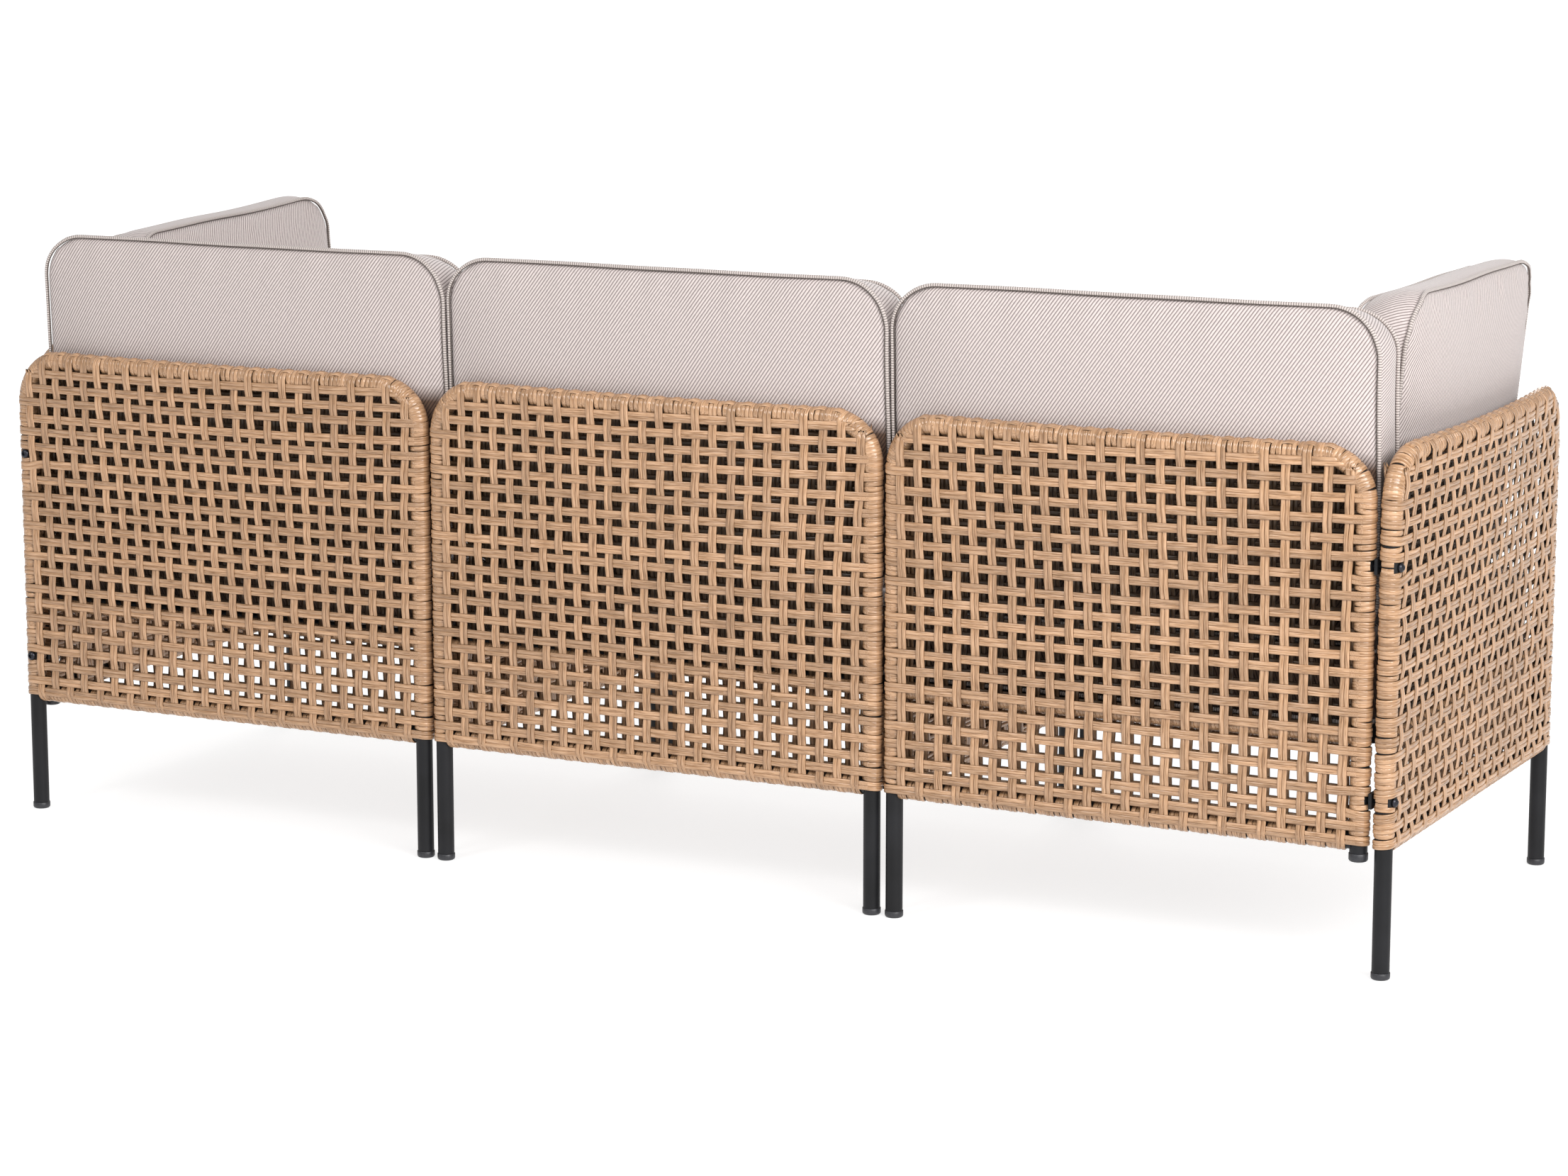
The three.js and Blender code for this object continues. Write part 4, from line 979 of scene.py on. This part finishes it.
def cushionMesh(name, width, height, kind):
    shape = cushionKinds[kind]
    thickness, radius = shape["thickness"], shape["radius"]
    countU = int(round(width / shape["cell"]))
    countV = int(round(height / shape["cell"]))
    countT = max(4, int(round(thickness / shape["cell"])))
    dice = random.Random(shape["seed"])
    offset = Vector((dice.uniform(0, 50), dice.uniform(0, 50), dice.uniform(0, 50)))
    verts, uvs, faces, faceUVs = [], [], [], []

    def domeShare(place, size):
        return (1 - min(abs(place) / (size / 2), 1) ** cover["domePower"]) ** cover["domeEase"]

    def border(k):
        # walk round the grid border
        k %= 2 * (countU + countV)
        if k < countU:
            return k, 0
        if k < countU + countV:
            return countU, k - countU
        if k < 2 * countU + countV:
            return 2 * countU + countV - k, countV
        return 0, 2 * (countU + countV) - k

    grid = {}
    run, deep, reachIn = cover["driftRun"], cover["puckerRun"], cover["puckerReach"]
    for sideSign in (-1, 1):
        for i in range(countU + 1):
            for j in range(countV + 1):
                x, y = ringPoint(i / countU * 2 - 1, j / countV * 2 - 1, width, height, radius)
                # the seam wanders a little, and the cloth puckers where it is sewn
                drift = noise.noise(Vector((x / run, y / run, 0)) + offset)
                edge = min(width / 2 - abs(x), height / 2 - abs(y))
                pucker = noise.noise(Vector((x / deep, y / deep, 4)) + offset) * math.exp(-edge / reachIn) \
                    * min(1, edge / 10)
                reach = 1 + cover["drift"] * drift / max(width, height)
                swell = shape["crown"] * cover["crownShare"] * (domeShare(x, width) * domeShare(y, height))
                grid[(sideSign, i, j)] = len(verts)
                out = thickness / 2 + swell + cover["pucker"] * pucker
                verts.append((x * reach, sideSign * out, y * reach))
                uvs.append((x, y))
    wallStart = len(verts)
    ringLength = 2 * (countU + countV)
    lengths = [0.0]
    wall = {}
    for k in range(ringLength):
        here, after, before = border(k), border(k + 1), border(k - 1)
        lengths.append(lengths[-1] + math.dist(uvs[grid[(1, *here)]], uvs[grid[(1, *after)]]))
        lower = grid[(-1, *here)]
        wall[(k, 0)], wall[(k, countT)] = lower, grid[(1, *here)]
        x, _, y = verts[lower]
        behind, ahead = verts[grid[(1, *before)]], verts[grid[(1, *after)]]
        normalX, normalY = ahead[2] - behind[2], behind[0] - ahead[0]
        size = math.hypot(normalX, normalY)
        for t in range(1, countT):
            share = t / countT
            bulge = shape["wallBulge"] * math.sin(math.pi * share) ** 0.8
            verts.append((x + normalX / size * bulge, -thickness / 2 + thickness * share,
                          y + normalY / size * bulge))
            wall[(k, t)] = len(verts) - 1
    for sideSign in (-1, 1):
        for i in range(countU):
            for j in range(countV):
                corners = [grid[(sideSign, i, j)], grid[(sideSign, i + 1, j)],
                           grid[(sideSign, i + 1, j + 1)], grid[(sideSign, i, j + 1)]]
                if sideSign > 0:
                    corners.reverse()
                faces.append(corners)
                faceUVs.append(("face", sideSign, [uvs[c] for c in corners]))
    for k in range(ringLength):
        for t in range(countT):
            nextK = (k + 1) % ringLength
            faces.append([wall[(k, t)], wall[(k, t + 1)], wall[(nextK, t + 1)], wall[(nextK, t)]])
            low, high = thickness * t / countT, thickness * (t + 1) / countT
            faceUVs.append(("wall", 0, [(lengths[k], low), (lengths[k], high),
                                        (lengths[k + 1], high), (lengths[k + 1], low)]))
    seams = [[grid[(sideSign, *border(k))] for k in range(ringLength)] for sideSign in (-1, 1)]
    mesh = bpy.data.meshes.new(name)
    mesh.from_pydata([(x * mm, y * mm, z * mm) for x, y, z in verts], [], faces)
    values = []
    for part, sideSign, places in faceUVs:
        slant = math.radians(cover["slants"][(part, sideSign)])
        for a, b in places:
            values += [(a * math.cos(slant) + b * math.sin(slant)) * mm,
                       (b * math.cos(slant) - a * math.sin(slant)) * mm]
    mesh.uv_layers.new(name="clothUV").data.foreach_set("uv", values)
    mesh.update()
    return mesh, seams, wallStart


def placesOf(mesh):
    places = np.empty(len(mesh.vertices) * 3)
    mesh.vertices.foreach_get("co", places)
    return places.reshape(-1, 3)


def inflate(piece, seams, wallStart):
    # cloth under pressure, held at its seams, then no point moved further than the stuffing may push it
    rest = placesOf(piece.data)
    pins = piece.vertex_groups.new(name="seam")
    for seam in seams:
        pins.add(seam, 1.0, "REPLACE")
    stuffing = piece.modifiers.new("stuffing", "CLOTH")
    settings = stuffing.settings
    for name, value in (("use_pressure", True), ("uniform_pressure_force", 4.0), ("vertex_group_mass", "seam"),
                        ("tension_stiffness", 12.0), ("compression_stiffness", 12.0), ("shear_stiffness", 6.0),
                        ("bending_stiffness", 0.6), ("quality", 4)):
        setattr(settings, name, value)
    settings.effector_weights.gravity = 0.0
    stuffing.collision_settings.use_collision = False
    scene = bpy.context.scene
    for step in range(1, 21):
        scene.frame_set(step)
    seen = piece.evaluated_get(bpy.context.evaluated_depsgraph_get())
    move = placesOf(seen.data) - rest
    piece.modifiers.remove(stuffing)
    most = np.full((len(rest), 1), cover["face"] * mm)
    most[wallStart:] = cover["wall"] * mm
    move *= np.minimum(1.0, most / np.maximum(np.linalg.norm(move, axis=1, keepdims=True), 1e-9))
    piece.data.vertices.foreach_set("co", (rest + move).ravel())
    piece.data.update()
    scene.frame_set(1)
    piece.vertex_groups.clear()


def settleTop(mesh, kind, width, height, slope, sag):
    # the top of a standing cushion slopes to its inner seam (or to the outer one) and sags towards one end
    for vertex in mesh.vertices:
        x, y, z = (c / mm for c in vertex.co)
        upper = max(0.0, z / (height / 2)) ** 2
        lower = 0.5 - math.copysign(1, slope) * y / cushionKinds[kind]["thickness"]
        end = 0.5 - x / width
        vertex.co.z -= upper * (abs(slope) * max(0.0, min(1.0, lower)) + sag * max(0.0, min(1.0, end))) * mm
    mesh.update()


def makeCushion(node, size, kind, place, slope=0.0, sag=0.0):
    mesh, seams, wallStart = cushionMesh(node, *size, kind)
    settleTop(mesh, kind, *size, slope, sag)
    piece = newPiece(node + "_cover", mesh)
    inflate(piece, seams, wallStart)
    coordinates = np.array([v.co for v in piece.data.vertices])
    spread = np.array(place.to_3x3())
    welts, stitches = newBundle(), newBundle()
    for sign, seam in zip((-1, 1), seams):
        points = coordinates[seam]
        outward = points - points.mean(0)
        outward[:, 1] = 0
        outward /= np.linalg.norm(outward, axis=1, keepdims=True)
        # the cord sits on the seam, its row of stitches beside it on the face, where their dark thread is
        # painted shade for the seam's shadow line
        for bundle, (out, off) in ((welts, cover["cord"]), (stitches, cover["stitches"])):
            line = points + outward * out * mm
            line[:, 1] += sign * off * mm
            addPath(bundle, line @ spread.T + np.array(place.translation), outward @ spread.T)
    piece.data.transform(place)
    piece.data.materials.append(cloth)
    piece.data.polygons.foreach_set("use_smooth", [True] * len(piece.data.polygons))
    layer = piece.modifiers.new("smooth", "SUBSURF")
    layer.levels = layer.render_levels = 1
    made = bpy.data.meshes.new_from_object(piece.evaluated_get(bpy.context.evaluated_depsgraph_get()))
    piece.modifiers.clear()
    piece.data = made
    settle(piece, [node])
    for part, bundle, radius, sides, finish in (
            ("_piping", welts, cover["cordRadius"], 10, piping),
            ("_stitching", stitches, cover["threadRadius"], 6, shadowLineThread)):
        values = {"Radius": radius * mm, "Sides": sides, "Material": finish}
        settle(sweepPiece(node + part, bundle, roundSweep, values), [node])


def tilted(centre, turn, lean):
    # place of a standing cushion: its face turned about Z, then leaned outwards at the top
    return (Matrix.Translation([c * mm for c in centre]) @ Matrix.Rotation(math.radians(turn), 4, "Z")
            @ Matrix.Rotation(math.radians(-lean), 4, "X"))


back, side, spots = cushionKinds["back"], cushionKinds["side"], cushionPlaces
for name, x in spots["backSpots"].items():
    makeCushion(name + "_back_cushion", back["size"], "back",
                tilted((x, spots["backY"], spots["backZ"]), 0, back["lean"]), 16.0)
# the right side cushion is pushed back against the back cushion, as photographed
for name, sign, y, slope, sag in (("right", 1, -51.0, -4.0, 20.0), ("left", -1, -85.0, 20.0, 0.0)):
    makeCushion(name + "_side_cushion", side["size"], "side",
                tilted((sign * spots["sideX"], y, spots["sideZ"]), -90 * sign, side["lean"]), slope, sag)
for name in ("right", "left", "middle"):
    centre, size = spots["middleSeat" if name == "middle" else "cornerSeat"]
    place = placeOf(name, 0, 0, 0) @ Matrix.Translation((*centre, spots["seatZ"])) @ Matrix.Scale(1 / mm, 4) \
        @ Matrix.Rotation(quarter, 4, "X")
    makeCushion(name + "_seat_cushion", size, "seat", place)
print("cushions made")


# bolts and caps, in mm
fittings = {
    "headRadius": 7.0, "headHeight": 5.8, "flange": 1.6, "socket": 2.9, "socketDepth": 2.6, "shankRadius": 4.0,
    "cornerShank": 44.4, "seatShank": 50.1, "cornerSeat": 12.8, "seatSeat": -44.1, "seatBoltEnd": 150.0,
    "capRounding": 3.5, "sides": 36,
}


def turnedPiece(name, profile, place, finish):
    # a profile of (radius, height) turned about Z; a negative radius is a hexagon of that size
    sides = fittings["sides"]
    verts, faces = [], []
    for radius, height in profile:
        for k in range(sides):
            angle = 2 * math.pi * k / sides
            reach = radius
            if radius < 0:
                reach = -radius * math.cos(math.pi / 6) / math.cos((angle % (math.pi / 3)) - math.pi / 6)
            verts.append((reach * math.cos(angle), reach * math.sin(angle), height))
    for ring in range(len(profile) - 1):
        for k in range(sides):
            a, b = ring * sides + k, ring * sides + (k + 1) % sides
            faces.append((a, b, b + sides, a + sides))
    faces.append(tuple(reversed(range(sides))))
    faces.append(tuple(range((len(profile) - 1) * sides, len(profile) * sides)))
    mesh = bpy.data.meshes.new(name)
    mesh.from_pydata(verts, [], faces)
    mesh.transform(place)
    mesh.materials.append(finish)
    mesh.update()
    # smooth round the turn, crisp at the edges
    mesh.polygons.foreach_set("use_smooth", [True] * len(mesh.polygons))
    mesh.set_sharp_from_angle(angle=math.radians(50))
    return newPiece(name, mesh)


def boltProfile(shank):
    top, flange, socket = fittings["headHeight"], fittings["flange"], fittings["socket"]
    head, stem = fittings["headRadius"], fittings["shankRadius"]
    dome = [(head * math.cos(a), flange + (top - flange) * math.sin(a)) for a in np.radians((0, 22, 42, 60))]
    rim = [(head - 0.3, 0.0), (head, 0.3)]
    hole = [(socket + 0.6, top), (-socket - 0.2, top - 0.1), (-socket, top - 0.4),
            (-socket, top - fittings["socketDepth"])]
    return [(stem - 0.8, -shank), (stem, -shank + 0.8), (stem, 0.0)] + rim + dome + hole


def capProfile(radius, height):
    rounding = fittings["capRounding"]
    low = [(radius - rounding + rounding * math.sin(a), rounding - rounding * math.cos(a))
           for a in np.radians((0, 18, 36, 54, 72, 90))]
    return low + [(radius, height - 0.5), (radius - 0.5, height)]


def makeBolt(node, moduleName, x, y, z, turn, shank):
    # the bolt's own axis is Z; its head looks along the place's Y
    place = placeOf(moduleName, x, y, turn) @ Matrix.Translation((0, 0, z)) @ Matrix.Rotation(-quarter, 4, "X")
    settle(turnedPiece(node + "_turned", boltProfile(shank), place, boltMetal), [node])


seatShank, seatSeat, seatEnd = fittings["seatShank"], fittings["seatSeat"], fittings["seatBoltEnd"]
for name in ("right", "left", "middle"):
    for end, x in (("rear_left", seatEnd - longSpan), ("rear_right", -seatEnd)):
        makeBolt(name + "_seat_bolt_" + end, name, x, seatSeat, hoop["crossRail"], 180, seatShank)
for name in ("right", "left"):
    for height, which in zip(boltHeights, ("upper", "lower")):
        node = [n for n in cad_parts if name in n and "bolt" in n and which in n][0]
        makeBolt(node, name, 0, fittings["cornerSeat"], height, 0, fittings["cornerShank"])
    makeBolt(name + "_seat_bolt_side", name, seatSeat, seatEnd - cornerDepth, hoop["crossRail"], 90, seatShank)
for node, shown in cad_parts.items():
    if "cap" in node:
        lowest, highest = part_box(node)
        centre, size = (lowest + highest) / 2, (highest - lowest) / mm
        place = Matrix.Translation((centre.x, centre.y, lowest.z)) @ Matrix.Scale(mm, 4)
        piece = turnedPiece(node + "_turned", capProfile(size.x / 2, size.z), place, plastic)
        settle(piece, [node])
    elif "plate" in node or "spacer" in node:
        shown.data.materials.clear()
        shown.data.materials.append(steel)
print("fittings made")


# the studio: floor and lights in metres, each light's place, aim, width and power
studio = {
    "floorHalf": 60.0,
    "floorGrey": 0.35,
    "worldStrength": 0.5,
    "keyLight": ((-4.8, 2.5, 3.0), (-0.6, 0, 0.5), 2.4, 180),
    "rearLight": ((-2.8, 3.4, 2.8), (-0.4, 0, 0.5), 2.0, 75),
    "frontLight": ((1.6, -5.0, 3.4), (0, 0, 0.5), 3.0, 110),
    "glanceLight": ((1.3, 4.2, 3.8), (-0.3, 0, 0.5), 1.2, 60),  # small and high: it glances off the bands
}


def makeStage():
    mesh = bpy.data.meshes.new("floor")
    half, grey = studio["floorHalf"], studio["floorGrey"]
    corners = [(-half, -half, 0), (half, -half, 0), (half, half, 0), (-half, half, 0)]
    mesh.from_pydata(corners, [], [(0, 1, 2, 3)])
    floor = newPiece("floor", mesh)
    material, tree, surface = newMaterial("paleFloor")
    spot = addNode(tree, "ShaderNodeTexCoord").outputs["Object"]
    reach = addNode(tree, "ShaderNodeVectorMath", {"operation": "LENGTH"}, {0: spot})
    glow = addNode(tree, "ShaderNodeMapRange", None, {"Value": reach.outputs["Value"], "From Min": 2.0,
                                                      "From Max": 7.0, "To Min": 0.75, "To Max": 0.95})
    connect(tree, surface, {"Base Color": (grey, grey, grey, 1), "Roughness": 0.9,
                            "Emission Color": (1, 1, 1, 1), "Emission Strength": glow})
    mesh.materials.append(material)
    world = bpy.data.worlds.new("studio")
    bpy.context.scene.world = world
    world.use_nodes = True
    background = world.node_tree.nodes["Background"]
    connect(world.node_tree, background, {"Color": (1, 1, 1, 1), "Strength": studio["worldStrength"]})


def addLight(name, spot, aim, size, power):
    lamp = bpy.data.lights.new(name, "AREA")
    lamp.shape, lamp.size, lamp.energy = "SQUARE", size, power
    holder = newPiece(name, lamp)
    holder.location = spot
    holder.rotation_euler = (Vector(aim) - Vector(spot)).to_track_quat("-Z", "Y").to_euler()


makeStage()
for name in ("keyLight", "rearLight", "frontLight", "glanceLight"):
    addLight(name, *studio[name])

# the photograph's viewpoint: from behind the row, at its left-hand end as seen from the front
cameraSet = {"spot": (-2.96558, 5.83886, 1.61468), "yaw": -0.46627, "pitch": 0.18461, "lens": 99.035}
yaw, pitch = cameraSet["yaw"], cameraSet["pitch"]
look = Vector((-math.sin(yaw) * math.cos(pitch), -math.cos(yaw) * math.cos(pitch), -math.sin(pitch)))
rightward = Vector((-math.cos(yaw), math.sin(yaw), 0))
upward = rightward.cross(look)
lens = bpy.data.cameras.new("camera")
lens.lens, lens.sensor_width, lens.sensor_fit, lens.clip_end = cameraSet["lens"], 36.0, "HORIZONTAL", 60.0
holder = newPiece("camera", lens)
aim = Matrix((rightward, upward, -look)).transposed().to_4x4()
holder.matrix_world = Matrix.Translation(cameraSet["spot"]) @ aim
bpy.context.scene.camera = holder
bpy.context.scene.view_settings.view_transform = "Standard"
